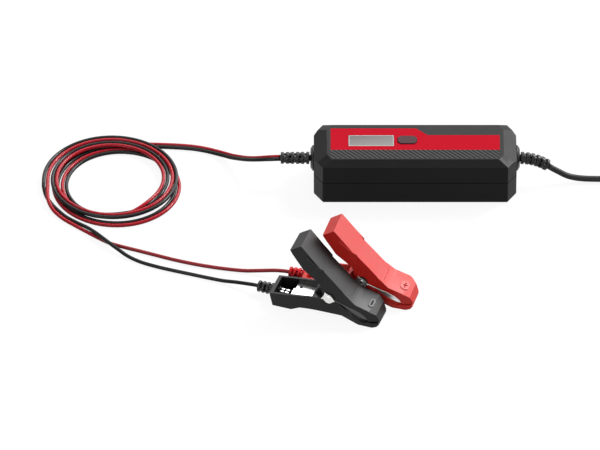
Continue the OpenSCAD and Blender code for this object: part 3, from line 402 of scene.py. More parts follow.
class Wire:
    """A shader socket. Arithmetic on it adds Math nodes, and node() adds any other node."""

    def __init__(self, socket):
        self.socket = socket

    def node(self, kind, settings=None, sockets=None, out=0):
        tree = self.socket.id_data
        made = tree.nodes.new(kind)
        for key, value in (settings or {}).items():
            if key == "stops":
                ramp = made.color_ramp
                for place, _ in value[1:-1]:
                    ramp.elements.new(place)
                for element, (place, colour) in zip(ramp.elements, value):
                    element.position, element.color = place, (*colour, 1)
            else:
                setattr(made, key, value)
        for key, value in (sockets or {}).items():
            if isinstance(value, Wire):
                tree.links.new(value.socket, made.inputs[key])
            else:
                made.inputs[key].default_value = value
        return Wire(made.outputs[out])

    def maths(self, operation, *values):
        sockets = dict(enumerate(values))
        return self.node("ShaderNodeMath", {"operation": operation}, sockets)

    def __add__(self, other):
        return self.maths("ADD", self, other)

    def __mul__(self, other):
        return self.maths("MULTIPLY", self, other)

    def __sub__(self, other):
        return self.maths("SUBTRACT", self, other)

    def __rsub__(self, other):
        return self.maths("SUBTRACT", other, self)

    def __gt__(self, other):
        return self.maths("GREATER_THAN", self, other)

    def __lt__(self, other):
        return self.maths("LESS_THAN", self, other)

    __radd__ = __add__
    __rmul__ = __mul__

    def mix(self, low, high):
        """A colour between low, where this value is 0, and high, where it is 1."""
        colours = [c if isinstance(c, Wire) else (*c, 1) for c in (low, high)]
        settings = {"data_type": "RGBA"}
        return self.node("ShaderNodeMix", settings, {0: self, 6: colours[0], 7: colours[1]}, 2)

    def noise(self, scale, detail=3, roughness=0.5):
        sockets = {"Vector": self, "Scale": scale, "Detail": detail, "Roughness": roughness}
        return self.node("ShaderNodeTexNoise", None, sockets)

    def between(self, low, high):
        """This value, taken from 0..1 to low..high."""
        return self * (high - low) + low

    def axes(self):
        """The x, y and z of a place."""
        apart = self.node("ShaderNodeSeparateXYZ", None, {0: self})
        return [Wire(socket) for socket in apart.socket.node.outputs]

    def pingpong(self):
        """A triangle wave: 0 at whole numbers and 0.5 half-way between them."""
        return self.maths("PINGPONG", self, 0.5)


def new_finish(name, **plain):
    """A Principled material: its shader node and its Object coordinates."""
    material = bpy.data.materials.new(name)
    material.use_nodes = True
    shader = material.node_tree.nodes["Principled BSDF"]
    for key, value in plain.items():
        socket = shader.inputs[key.replace("_", " ").title().replace("Ior", "IOR")]
        socket.default_value = (*value, 1) if isinstance(value, tuple) else value
    place = Wire(shader.outputs[0]).node("ShaderNodeTexCoord", out=3)
    return material, shader, place


def wire_up(shader, **links):
    for key, value in links.items():
        socket = shader.inputs[key.replace("_", " ").title()]
        shader.id_data.links.new(value.socket, socket)


def bump(height, distance, strength=1.0):
    sockets = {"Height": height, "Distance": distance, "Strength": strength}
    return height.node("ShaderNodeBump", None, sockets)


def tinted(colour, share):
    return tuple(share * c for c in colour)


def cable_sheath(name, colour, shine):
    """Smooth extruded PVC: glossy, with faint flats and handling marks along it."""
    material, shader, place = new_finish(name, specular_ior_level=0.16)
    streaks = place.noise(350, 2)
    wire_up(
        shader,
        base_color=streaks.mix(tinted(colour, 0.88), tinted(colour, 1.1)),
        roughness=place.noise(140, 2).between(shine, shine + 0.1),
        normal=bump(place.noise(500, 2), 0.000015),
    )
    return material


RED_SHEATH = cable_sheath("red_sheath", (0.31, 0.003, 0.011), 0.16)
# A darker copy of the red sheath for the red tail: painted shade.
SHADED_RED_SHEATH = cable_sheath("dark_red_sheath", (0.23, 0.01, 0.014), 0.24)
BLACK_SHEATH = cable_sheath("black_sheath", (0.005, 0.005, 0.0052), 0.17)

red_end, fork_at = core_end(1, RED_ROUTE, "red")
black_end, _ = core_end(-1, BLACK_ROUTE, "black")
pair = [*lead, *coil, coil[-1] - step_y]
cores = {
    "red": [*core_line(pair, 1), *red_end[: fork_at + 1]],
    "black": [*core_line(pair, -1), *black_end[: fork_at + 1]],
}
bm = bmesh.new()
tube(bm, cores["red"], CORE / 2, index=0)
tube(bm, cores["black"], CORE / 2, index=1)
twin_lead = piece("twin_lead", bm, RED_SHEATH, BLACK_SHEATH)
middle = [(a + b) / 2 for a, b in zip(cores["red"], cores["black"])]
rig.ride(twin_lead, "charger")
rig.replaces(twin_lead, "dc_lead_red", "dc_lead_black", "dc_coil_red", "dc_coil_black")
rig.slot(twin_lead, "lead_black")
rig.cord(
    twin_lead, exit=lead_exit[:3], length=length_of(middle), diameter=CORE + CORE_PITCH,
    far_end="object", stiffness="medium", lay="loose", path=middle,
)

# The red tail takes the darker copy of the red sheath, which paints shade on it.
for colour, line, sheath in (
    ("red", red_end, SHADED_RED_SHEATH), ("black", black_end, BLACK_SHEATH),
):
    bm = bmesh.new()
    tube(bm, line[fork_at:], CORE / 2)
    tail = piece(f"{colour}_single_lead", bm, sheath)
    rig.ride(tail, "charger")
    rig.replaces(tail, f"{colour}_tail")
    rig.slot(tail, f"lead_{colour}")
    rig.cord(
        tail, exit=line[fork_at], length=length_of(line[fork_at:]), diameter=CORE,
        far_end="object", stiffness="medium", lay="loose", path=line[fork_at:],
    )

# ---------------------------------------------------------------------------- mains lead
# Round black two-core lead. It leaves the right-hand relief, droops to the table, and is
# wound up in two layers under a strap, with its plug beside it.
MAINS = 0.0055
DROOP = math.radians(38)
WOUND_AT = Vector((0.225, -0.042))
WOUND_RADIUS = 0.042
WOUND_PITCH = 0.006
WOUND_TURNS = 6.25
WOUND_Z = 0.0031
WOUND_CLIMB = 0.5
PLUG_BACK = -0.120
MAINS_ROUTE = [
    (0.1283, 0, 0.0112), (0.134, 0, 0.0076), (0.141, 0, 0.005), (0.150, 0, 0.0036),
    (0.161, 0, WOUND_Z), (0.174, 0, WOUND_Z), (0.187, 0, WOUND_Z), (0.200, 0, WOUND_Z),
]
PLUG_ROUTE = [
    (0.267, -0.060, 0.008), (0.267, -0.068, 0.0063), (0.267, -0.076, 0.0048),
    (0.267, -0.085, 0.004), (0.267, -0.095, 0.0044), (0.267, -0.104, 0.0058),
]


def wound_point(turns):
    """The put-away coil winds inwards on the table, and outwards in a second layer."""
    half = WOUND_TURNS / 2
    angle = math.radians(90 - 360 * turns)
    radius = WOUND_RADIUS - WOUND_PITCH * (half - abs(turns - half))
    climb = ease((turns - half + WOUND_CLIMB / 2) / WOUND_CLIMB)
    return Vector((
        WOUND_AT.x + radius * math.cos(angle), WOUND_AT.y + radius * math.sin(angle),
        WOUND_Z + WOUND_PITCH * climb,
    ))


droop_radius = RELIEF_LENGTH / DROOP
relief_end = Vector((
    GLAND_FACE + droop_radius * math.sin(DROOP), 0,
    GLAND_Z - droop_radius * (1 - math.cos(DROOP)),
))
relief_way = Vector((math.cos(DROOP), 0, -math.sin(DROOP)))
wound_steps = round(WOUND_TURNS * POINTS_PER_TURN)
wound = [wound_point(i / POINTS_PER_TURN) for i in range(wound_steps + 1)]
mains_x, mains_y = Vector((MAINS, 0, 0)), Vector((0, MAINS, 0))
plug_z = (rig.box("plug_body")[0].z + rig.box("plug_body")[1].z) / 2
plug_in = Vector((wound[-1].x, PLUG_BACK, plug_z))
mains_line = [
    relief_end,
    *smooth_route(
        [relief_end + MAINS * relief_way, *MAINS_ROUTE, wound[0] - 2 * mains_x], ROUTE_STEPS
    ),
    wound[0] - mains_x,
    *wound,
    wound[-1] - mains_y,
    *smooth_route([wound[-1] - 2 * mains_y, *PLUG_ROUTE, plug_in + mains_y], ROUTE_STEPS),
    plug_in,
]
MAINS_SHEATH = cable_sheath("mains_sheath", (0.02, 0.02, 0.021), 0.3)
bm = bmesh.new()
tube(bm, mains_line, MAINS / 2, sides=16)
mains_lead = piece("mains_flex", bm, MAINS_SHEATH)
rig.ride(mains_lead, "charger")
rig.replaces(mains_lead, "mains_lead", "mains_coil", "mains_end")
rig.slot(mains_lead, "mains_black")
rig.cord(
    mains_lead, exit=relief_end, length=length_of(mains_line), diameter=MAINS,
    far_end="plug", stiffness="medium", lay="coiled", path=mains_line,
    with_pieces=["plug_body", "plug_pins", "coil_tie"],
)

# -------------------------------------------------------------------- table and lighting
# A plain white table in white surroundings. Broad lights stand overhead, behind and on the
# right, from where they glance off the tops, a small one high on the right picks out the
# corners, and a weak one in front fills the near sides.
TABLE_SIZE = 8.0
TABLE_GLOW = 0.9
TABLE_WHITE = (0.92, 0.92, 0.92)
TABLE_BOUNCE = (0.24, 0.24, 0.24)
WORLD_LIGHT = 0.21
bm = bmesh.new()
bmesh.ops.create_grid(bm, x_segments=1, y_segments=1, size=TABLE_SIZE)
table_top, shader, place = new_finish("table_top", roughness=0.9, specular_ior_level=0.1)


def seen_directly(wire):
    """Light Path's camera, glossy and transmission rays, and the camera rays alone."""
    rays = wire.node("ShaderNodeLightPath").socket.node.outputs
    seen = Wire(rays["Is Camera Ray"])
    both = wire.maths("MAXIMUM", Wire(rays["Is Glossy Ray"]), Wire(rays["Is Transmission Ray"]))
    return wire.maths("MAXIMUM", seen, both), seen


direct, by_camera = seen_directly(place)
cloud = place.noise(3).between(0.96, 1.0)
wire_up(shader, base_color=by_camera.mix(TABLE_BOUNCE, cloud.mix((0, 0, 0), TABLE_WHITE)))
glow = place.node("ShaderNodeEmission", None, {"Color": (1, 1, 1, 1), "Strength": 1.0})
output = table_top.node_tree.nodes["Material Output"]
mixed = place.node(
    "ShaderNodeMixShader", None, {0: direct * TABLE_GLOW, 1: Wire(shader.outputs[0]), 2: glow}
)
table_top.node_tree.links.new(mixed.socket, output.inputs["Surface"])
table = piece("table", bm, table_top)
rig.stage(table)

world = bpy.data.worlds.new("surroundings")
world.use_nodes = True
scene.world = world
background = world.node_tree.nodes["Background"]
direct, _ = seen_directly(Wire(background.outputs[0]))
background.inputs["Color"].default_value = (1, 1, 1, 1)
world.node_tree.links.new(
    direct.between(WORLD_LIGHT, 1.0).socket, background.inputs["Strength"]
)

for name, way, strength, spread in (
    ("overhead", (-0.1, 0.0, 1.0), 0.75, 60),
    ("from_behind", (0.1, 0.75, 0.62), 1.2, 40),
    ("from_the_right", (0.7, 0.52, 0.46), 3.2, 56),
    ("high_right", (0.565, 0.415, 0.712), 1.6, 10),
    ("low_in_front", (-0.35, -0.8, 0.35), 0.9, 40),
):
    light = bpy.data.lights.new(name, "SUN")
    light.energy = strength
    light.angle = math.radians(spread)
    lamp = bpy.data.objects.new(name, light)
    lamp.rotation_euler = Vector(way).to_track_quat("Z", "Y").to_euler()
    scene.collection.objects.link(lamp)


# ------------------------------------------------------------------------------- case
# Two injection-moulded shells of dark grey ABS with a fine spark-eroded grain, screwed
# together from below. Every outer edge has a small radius. Two radii that face each other
# make the joint line, and a narrow painted shadow darkens the joint between them.
EDGE_RADIUS = 0.0006
# Half the height of the painted shadow band along the joint
JOINT_SHADOW_HALF = 0.0004
SKIN_REACH = 2e-5


def moulded(name, colour, roughness, grain=0.00003, shine=0.5):
    """Moulded plastic: a fine grain, slightly cloudy colour and uneven gloss."""
    material, shader, place = new_finish(name, specular_ior_level=shine)
    cloud = place.noise(60, 3)
    wire_up(
        shader,
        base_color=cloud.mix(tinted(colour, 0.88), tinted(colour, 1.12)),
        roughness=cloud.between(roughness - 0.05, roughness + 0.06),
        normal=bump(place.noise(2600, 2, 0.6), grain),
    )
    return material


def merged(node):
    """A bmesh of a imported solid, with its triangles merged to whole faces."""
    bm = bmesh.new()
    bm.from_mesh(nodes[node].data)
    bmesh.ops.remove_doubles(bm, verts=bm.verts, dist=1e-6)
    bmesh.ops.dissolve_limit(
        bm, angle_limit=math.radians(0.4), verts=bm.verts, edges=bm.edges
    )
    return bm


def result_of(made):
    """A new mesh of what an object's modifiers make."""
    depsgraph = bpy.context.evaluated_depsgraph_get()
    return bpy.data.meshes.new_from_object(made.evaluated_get(depsgraph))


def settle(made):
    """Replaces a piece's modifiers by their result."""
    result = result_of(made)
    result.name = made.name
    made.modifiers.clear()
    made.data = result


def round_edges(made, radius, share=lambda edge: 1.0, segments=3, crease=20):
    """Rounds a piece's outward edges, each by its share of the radius."""
    made.data.shade_smooth()
    made.data.set_sharp_from_angle(angle=math.radians(28))
    bm = bmesh.new()
    bm.from_mesh(made.data)
    weight = bm.edges.layers.float.new("bevel_weight_edge")
    for edge in bm.edges:
        if edge.is_manifold and edge.calc_face_angle_signed() > math.radians(crease):
            edge[weight] = share(edge)
    bm.to_mesh(made.data)
    bm.free()
    bevel = made.modifiers.new("edges", "BEVEL")
    bevel.width = radius
    bevel.segments = segments
    bevel.limit_method = "WEIGHT"
    bevel.harden_normals = True
    bevel.miter_outer = "MITER_ARC"
    settle(made)


def dressed(node, name, material, radius, share=lambda edge: 1.0, body="charger", **more):
    """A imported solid's shape again, with rounded edges and its own finish."""
    made = piece(name, merged(node), material)
    round_edges(made, radius, share, **more)
    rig.ride(made, body)
    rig.replaces(made, node)
    return made


case_hull = bmesh.new()
for node in ("base_shell", "top_shell"):
    case_hull.from_mesh(nodes[node].data)
bmesh.ops.remove_doubles(case_hull, verts=case_hull.verts, dist=1e-6)
hull_made = bmesh.ops.convex_hull(case_hull, input=case_hull.verts)["geom"]
skin = [
    (face.normal.copy(), face.normal.dot(face.verts[0].co))
    for face in hull_made if isinstance(face, bmesh.types.BMFace)
]
case_hull.free()
JOINT_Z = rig.box("base_shell")[1].z


def on_skin(vert):
    return any(abs(normal.dot(vert.co) - reach) < SKIN_REACH for normal, reach in skin)


def shell_edge(edge):
    """The case's outer edges and the joint's two lips in full, and nothing inside."""
    if not all(on_skin(vert) for vert in edge.verts):
        return 0.0
    if all(abs(vert.co.z - JOINT_Z) < SKIN_REACH for vert in edge.verts):
        return 1.0
    return float(all(on_skin(vert) for face in edge.link_faces for vert in face.verts))


CASE_PLASTIC, shader, place = new_finish("case_plastic", specular_ior_level=0.1)
cloud = place.noise(60, 3)
height = place.axes()[2]
# Close to the joint line the colour is near-black and fully rough: a painted shadow of the joint's gap.
off_joint_shadow = height.maths("ABSOLUTE", height - JOINT_Z) > JOINT_SHADOW_HALF
wire_up(
    shader,
    base_color=off_joint_shadow.mix(
        (0.002, 0.002, 0.002), cloud.mix((0.0065, 0.0065, 0.007), (0.009, 0.009, 0.0095))
    ),
    roughness=off_joint_shadow.maths("MAXIMUM", cloud.between(0.29, 0.4), 1.0 - off_joint_shadow),
    normal=bump(place.noise(2600, 2, 0.6), 0.00003),
)
for node in ("base_shell", "top_shell"):
    shell = dressed(node, f"{node}_moulding", CASE_PLASTIC, EDGE_RADIUS, shell_edge)
    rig.slot(shell, "case")

# ----------------------------------------------------------------------- printed panel
# Printed polyester film let into the top: a glossy red field that steps down behind the
# button, and in front of it a band printed with a fine woven pattern.
TOW = 0.0011
# The weave repeats every four tows, and the warp is on top over two of them
TWILL_TOWS, TWILL_OVER = 4, 0.49


def finish_node(node, material):
    for slot in nodes[node].material_slots:
        slot.material = material


red_film, shader, place = new_finish("red_film", specular_ior_level=0.02)
wire_up(
    shader,
    base_color=place.noise(45, 2).mix((0.345, 0.002, 0.011), (0.4, 0.003, 0.014)),
    roughness=place.noise(90, 3).between(0.42, 0.52),
    normal=bump(place.noise(1400, 2), 0.000012),
)
finish_node("face_label", red_film)

woven_film, shader, place = new_finish("woven_film", specular_ior_level=0.04)
across, along = (axis * (1 / TOW) for axis in place.axes()[:2])
step = (across.maths("FLOOR", across) + along.maths("FLOOR", along)) * (1 / TWILL_TOWS)
warp_on_top = step.maths("FRACT", step) < TWILL_OVER
crown = warp_on_top * across.pingpong() + (1.0 - warp_on_top) * along.pingpong()
wire_up(
    shader,
    base_color=warp_on_top.mix((0.007, 0.007, 0.0075), (0.055, 0.055, 0.057)),
    roughness=warp_on_top.between(0.36, 0.28),
    normal=bump(crown, 0.00005),
)
finish_node("patterned_band", woven_film)

# ----------------------------------------------------------------------------- display
# A flat acrylic window over a passive liquid-crystal panel, unlit. A pale bezel is printed
# under its edge, and painted shading makes the panel darker towards the back and left of the case.
BEZEL = 0.0007
BEZEL_COLOUR = (0.36, 0.36, 0.36)
PAINTED_PANEL_SHADING = [
    (0.0, (0.08, 0.073, 0.073)), (0.4, (0.137, 0.13, 0.126)), (1.0, (0.19, 0.19, 0.18)),
]
# The window's foot is a flange; what shows is the part in the panel's own opening
WINDOW_FLANGE = 0.0015
window_lo, window_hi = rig.box("display_window")
window_mid = (window_lo + window_hi) / 2
window_half = (window_hi - window_lo) / 2 - Vector((WINDOW_FLANGE, WINDOW_FLANGE, 0))
window, shader, place = new_finish("window", specular_ior_level=0.15)
x, y = (
    (axis - middle) * (1 / half)
    for axis, middle, half in zip(place.axes(), window_mid.xy, window_half.xy)
)
in_x = x.maths("ABSOLUTE", x) < 1 - BEZEL / window_half.x
in_y = y.maths("ABSOLUTE", y) < 1 - BEZEL / window_half.y
# Painted shading: a ramp that makes the panel darker towards the back and the left.
painted_slant = x * 0.14 - y * 0.36 + 0.5
painted_panel_shade = painted_slant.node("ShaderNodeValToRGB", {"stops": PAINTED_PANEL_SHADING}, {0: painted_slant})
wire_up(
    shader,
    base_color=(in_x * in_y).mix(BEZEL_COLOUR, painted_panel_shade),
    roughness=place.noise(120, 2).between(0.12, 0.2),
)
finish_node("display_window", window)
lcd_glass, shader, place = new_finish("lcd_glass", specular_ior_level=0.4)
wire_up(
    shader,
    base_color=place.noise(300, 2).mix((0.2, 0.22, 0.19), (0.26, 0.28, 0.24)),
    roughness=place.noise(80, 2).between(0.2, 0.3),
)
finish_node("lcd_module", lcd_glass)

# -------------------------------------------------------------------------- mode button
# A rounded silicone-coated key that stands a little proud of the film, with a shallow
# finger dish pressed into it.
key_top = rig.box("mode_button")[1].z


def key_edge(edge):
    return float(all(abs(vert.co.z - key_top) < SKIN_REACH for vert in edge.verts))


KEY_PLASTIC = moulded("key_plastic", (0.055, 0.024, 0.029), 0.5, shine=0.1)
key = dressed(
    "mode_button", "mode_key", KEY_PLASTIC, 0.0005, key_edge, body="button", crease=50
)
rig.slot(key, "button")

# ---------------------------------------------------------------------- cable entries
# Black rubber glands pushed through the end walls, and the ribbed reliefs moulded on their
# outer side, which stop the leads from kinking. Bridges on alternate sides join the ribs.


def rubber(name, specular, dark, light):
    """Black or red rubber, slightly cloudy and finely pitted."""
    material, shader, place = new_finish(name, specular_ior_level=specular)
    wire_up(
        shader,
        base_color=place.noise(150, 3).mix(dark, light),
        roughness=place.noise(220, 2).between(0.2, 0.3),
        normal=bump(place.noise(1800, 3), 0.00002),
    )
    return material


RUBBER = rubber("rubber", 0.3, (0.004, 0.004, 0.0045), (0.008, 0.008, 0.0085))
for node in ("dc_gland", "mains_gland"):
    gland = dressed(node, f"{node}_bush", RUBBER, 0.0004, crease=30)
    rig.slot(gland, "rubber_black")


def curve_of(name, line):
    """A curve object along a line."""
    curve = bpy.data.curves.new(name, "CURVE")
    curve.dimensions = "3D"
    spline = curve.splines.new("POLY")
    spline.points.add(len(line) - 1)
    for point, place in zip(spline.points, line):
        point.co = (*place, 1)
    made = bpy.data.objects.new(name, curve)
    scene.collection.objects.link(made)
    return made


def rib_tree():
    """Discs with rounded rims, spaced along a curve, and bridges that join them."""
    tree = bpy.data.node_groups.new("ribs_along_a_lead", "GeometryNodeTree")
    for name, kind in (
        ("Lead", "Geometry"), ("Ribs", "Int"), ("First Radius", "Float"),
        ("Last Radius", "Float"), ("Rib Thickness", "Float"), ("Rim Round", "Float"),
        ("Bridge Radius", "Float"), ("Bridge Length", "Float"), ("Rubber", "Material"),
    ):
        tree.interface.new_socket(name, in_out="INPUT", socket_type="NodeSocket" + kind)
    tree.interface.new_socket("Ribs", in_out="OUTPUT", socket_type="NodeSocketGeometry")
    given = tree.nodes.new("NodeGroupInput")
    inputs = {socket.name: Wire(socket) for socket in given.outputs}
    lead, thickness = inputs["Lead"], inputs["Rib Thickness"]

    def geometry(kind, sockets=None, settings=None):
        return lead.node("GeometryNode" + kind, settings, sockets)

    def vector(x, y, z):
        return lead.node("ShaderNodeCombineXYZ", None, {0: x, 1: y, 2: z})

    def points_along(count):
        """Points along the lead, and their rotations."""
        points = geometry("CurveToPoints", {"Curve": lead, "Count": count})
        return points, Wire(points.socket.node.outputs["Rotation"])

    # One rib: a ring at 0.8 of its radius, swept with a rounded rectangle
    index = geometry("InputIndex")
    share = index.maths("DIVIDE", index, inputs["Ribs"] - 1)
    first = inputs["First Radius"]
    radius = first + share * (inputs["Last Radius"] - first)
    ring = geometry("CurvePrimitiveCircle", {"Resolution": 44, "Radius": first * 0.8})
    section = geometry("CurvePrimitiveQuadrilateral", {"Width": first * 0.4, "Height": thickness})
    section = geometry(
        "FilletCurve", {"Curve": section, "Count": 3, "Radius": inputs["Rim Round"]},
        {"mode": "POLY"},
    )
    rib = geometry("CurveToMesh", {"Curve": ring, "Profile Curve": section})
    points, ways = points_along(inputs["Ribs"])
    grow = radius.maths("DIVIDE", radius, first)
    ribs = geometry("InstanceOnPoints", {
        "Points": points, "Instance": rib, "Rotation": ways, "Scale": vector(grow, grow, 1),
    })

    # Bridges: flattened beads on two opposite sides, a quarter turn on from gap to gap
    bead = geometry("MeshUVSphere", {"Segments": 14, "Rings": 8, "Radius": 1})
    both = geometry("JoinGeometry")
    for side in (-1, 1):
        shift = vector(inputs["Bridge Radius"] * side, 0, 0)
        half = vector(thickness * 0.45, thickness * 0.75, inputs["Bridge Length"] * 0.5)
        moved = geometry("Transform", {"Geometry": bead, "Translation": shift, "Scale": half})
        tree.links.new(moved.socket, both.socket.node.inputs[0])
    middles, ways = points_along(inputs["Ribs"] * 2 - 1)
    quarter = (index * 0.5).maths("FLOOR", index * 0.5) * (math.pi / 2)
    turn = lead.node("FunctionNodeAxisAngleToRotation", None, {"Axis": (0, 0, 1), "Angle": quarter})
    turned = lead.node(
        "FunctionNodeRotateRotation", {"rotation_space": "LOCAL"},
        {"Rotation": ways, "Rotate By": turn},
    )
    bridges = geometry("InstanceOnPoints", {
        "Points": middles, "Selection": index.maths("MODULO", index, 2), "Instance": both,
        "Rotation": turned,
    })
    together = geometry("JoinGeometry", {0: ribs})
    tree.links.new(bridges.socket, together.socket.node.inputs[0])
    smooth = geometry("SetShadeSmooth", {"Geometry": geometry("RealizeInstances", {0: together})})
    done = geometry("SetMaterial", {"Geometry": smooth, "Material": inputs["Rubber"]})
    out = tree.nodes.new("NodeGroupOutput")
    tree.links.new(done.socket, out.inputs[0])
    return tree


RIB_TREE = rib_tree()
RIM_SHARE, BRIDGE_SHARE = 0.2, 0.76


def ribs_on(name, line, material, ribs, first, last, thickness):
    """Ribs along a line as a plain mesh object."""
    made = curve_of(name, line)
    modifier = made.modifiers.new("ribs", "NODES")
    modifier.node_group = RIB_TREE
    keys = {item.name: item.identifier for item in RIB_TREE.interface.items_tree
            if item.in_out == "INPUT"}
    gap = length_of(line) / (ribs - 1)
    for key, value in (
        ("Ribs", ribs), ("First Radius", first), ("Last Radius", last),
        ("Rib Thickness", thickness), ("Rim Round", RIM_SHARE * thickness),
        ("Bridge Radius", BRIDGE_SHARE * last), ("Bridge Length", gap), ("Rubber", material),
    ):
        modifier[keys[key]] = value
    mesh = result_of(made)
    curve = made.data
    bpy.data.objects.remove(made)
    bpy.data.curves.remove(curve)
    result = bpy.data.objects.new(name, mesh)
    scene.collection.objects.link(result)
    return result


def discard(made):
    mesh = made.data
    bpy.data.objects.remove(made)
    bpy.data.meshes.remove(mesh)


def joined(name, parts):
    """Several mesh objects made into one."""
    bm = bmesh.new()
    materials = []
    for part in parts:
        for material in part.data.materials:
            if material not in materials:
                materials.append(material)
        own = [materials.index(material) for material in part.data.materials]
        start = len(bm.faces)
        bm.from_mesh(part.data)
        bm.faces.ensure_lookup_table()
        for face in bm.faces[start:]:
            face.material_index = own[face.material_index]
        discard(part)
    return piece(name, bm, *materials)


RIBS = 6
RIB_THICKNESS = 0.0029
FIRST_RIB, LAST_RIB = 0.0056, 0.0053
RIB_START, RIB_END = 0.0023, 0.0021
RELIEF_STEPS = 24


def along_relief(reach, droop):
    """The point of a relief's middle line at a reach from the gland, on its right-hand side."""
    if not droop:
        return Vector((GLAND_FACE + reach, 0, GLAND_Z))
    angle = droop * reach / RELIEF_LENGTH
    bend = RELIEF_LENGTH / droop
    return Vector((
        GLAND_FACE + bend * math.sin(angle), 0, GLAND_Z - bend * (1 - math.cos(angle))
    ))


for node, name, droop, side, half_w, half_t in (
    ("dc_strain_relief", "lead_relief", 0, -1, 0.0037, 0.0022),
    ("mains_strain_relief", "mains_relief", DROOP, 1, 0.0033, 0.0033),
):
    def stretch(start, end):
        reaches = [start + (end - start) * k / RELIEF_STEPS for k in range(RELIEF_STEPS + 1)]
        return [
            Vector((side * p.x, p.y, p.z))
            for p in (along_relief(reach, droop) for reach in reaches)
        ]

    bm = bmesh.new()
    tube(bm, stretch(0, RELIEF_LENGTH), half_w, sides=24, across=Vector((0, 0, 1)),
         flat=half_t / half_w)
    core = piece(f"{name}_core", bm, RUBBER)
    ribs = ribs_on(
        f"{name}_ribs", stretch(RIB_START, RELIEF_LENGTH - RIB_END), RUBBER,
        RIBS, FIRST_RIB, LAST_RIB, RIB_THICKNESS,
    )
    relief = joined(name, [core, ribs])
    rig.ride(relief, "charger")
    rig.replaces(relief, node)
    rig.slot(relief, "rubber_black")

# -------------------------------------------------------------------------- clamp grips
# Each clamp has two glass-filled nylon grips with rounded edges, hinged on one pin. Windows
# in the sides of the jaws show the steel, and a raised pad near the tip bears + or -.
CLAMP_EDGE = 0.0013
OUTER_WALL = 11.2
INNER_SHARE = 0.3
CLAMP_REACH = 0.016
CLAMP_PLASTIC = {
    "black": moulded("black_clamp_plastic", (0.005, 0.005, 0.0052), 0.38, shine=0.25),
    "red": moulded("red_clamp_plastic", (0.46, 0.014, 0.009), 0.38, shine=0.27),
}
# Side outlines run from the cable end towards the tip: x and height in millimetres
JAW_WINDOW = [
    (58, 19.8), (66, 18.0), (70, 17.1), (76, 15.7), (82, 13.4), (86.4, 10.2), (89, 5.6),
    (84.5, 3.4), (78, 5.6), (72, 9.6), (66, 13.9),
]
WINDOW_TOP = [(57, 20.4), (66, 18.4), (76, 16.1), (82, 13.9), (86.4, 10.7), (90, 6)]
UPPER_WINDOW_IN, LOWER_WINDOW_IN = 9.2, 10.6
RIVET_AT = (51.5, 21.2)
GRIP_TOP = [
    (26.5, 73.2), (47, 49.5), (57, 39.2), (67.2, 28.4), (76, 21.3), (89.5, 17), (95, 12.4),
]
# The fine line across the paddle: its place, half length, tilt, half width and depth
INSERT_LINE_AT, INSERT_LINE_HALF, INSERT_LINE_TILT = 71, 8.5, math.radians(-39)
INSERT_LINE_WIDE, INSERT_LINE_DEEP = 0.25, 0.35
PAD_AT, PAD_SIDE, PAD_TILT = 88.2, -1.5, math.radians(-17.7)
PADS = {"black": (5.6, 2.4), "red": (5.4, 3.6)}
MARK_HALF, MARK_WIDTH, MARK_FLOOR = 3.4, 0.65, 0.15
PAD_RISE, PAD_SINK, PAD_SIDES, PAD_EDGE = 0.6, 1.2, 40, 0.00022
# The pads take paler copies of the grip plastics: painted light on the pad tops, together with their own smoother
# gloss.
PAD_PLASTIC_PAINTED_LIGHTER = {
    "black": moulded("black_pad_plastic", (0.035, 0.035, 0.036), 0.3, shine=0.35),
    "red": moulded("red_pad_plastic", (0.55, 0.03, 0.025), 0.3, shine=0.4),
}
# A darker finish than the pad's for the engraved sign: painted shade in the engraving.
SIGN_PAINTED_SHADE = {
    "black": moulded("black_sign", (0.004, 0.004, 0.004), 0.6, shine=0.1),
    "red": moulded("red_sign", (0.28, 0.01, 0.01), 0.6, shine=0.1),
}
LIP_RADIUS = 0.001
GRIP_LIP = [(31, 62.4), (34.5, 60.0), (40, 55.4), (44, 51.8), (46.8, 49.3)]
GRIP_LIP_OUT = [12.7, 13.0, 13.0, 12.4, 11.6]


def clamp_place(colour):
    at, turn = CLAMPS[colour]
    return Matrix.Translation(at) @ Matrix.Rotation(turn, 4, "Z")


def slab(outline, y_from, y_to, place, *materials):
    """A prism over a clamp's side outline, in millimetres, set in its place."""
    bm = bmesh.new()
    loft(bm, [[Vector((x, y, z)) / 1000 for x, z in outline] for y in (y_from, y_to)])
    bm.transform(place)
    return piece("slab", bm, *materials)


def cut(made, *cutters):
    """Cuts other objects out of one, and removes them."""
    for cutter in cutters:
        boolean = made.modifiers.new("cut", "BOOLEAN")
        boolean.solver = "EXACT"
        if cutter.data.materials:
            boolean.material_mode = "TRANSFER"
        boolean.object = cutter
        settle(made)
        discard(cutter)


def grip_edge(place):
    """A grip's outer edges in full, and those of its tray, slot, bore and windows in part."""
    to_clamp = place.inverted()
    windows = (min(x for x, _ in JAW_WINDOW), max(x for x, _ in JAW_WINDOW))
    pivot = Vector(RIVET_AT)

    def share(edge):
        ends = [1000 * (to_clamp @ vert.co) for vert in edge.verts]
        in_bore = all((Vector((p.x, p.z)) - pivot).length < 7 for p in ends)
        in_window = all(
            windows[0] < p.x < windows[1] and 3 < p.z < height_on(WINDOW_TOP, p.x)
            for p in ends
        )
        outer = all(abs(p.y) > OUTER_WALL for p in ends)
        return 1.0 if outer and not in_bore and not in_window else INNER_SHARE

    return share


def height_on(outline, x):
    for (x0, z0), (x1, z1) in zip(outline, outline[1:]):
        if x0 <= x <= x1:
            return z0 + (z1 - z0) * (x - x0) / (x1 - x0)
    return None


def tilted(x, z, tilt, half_long, low, high):
    """A quad in the side view, centred on a point and turned by a tilt."""
    way, up = (math.cos(tilt), math.sin(tilt)), (-math.sin(tilt), math.cos(tilt))
    return [
        (x + a * way[0] + b * up[0], z + a * way[1] + b * up[1])
        for a, b in ((-half_long, low), (half_long, low), (half_long, high), (-half_long, high))
    ]


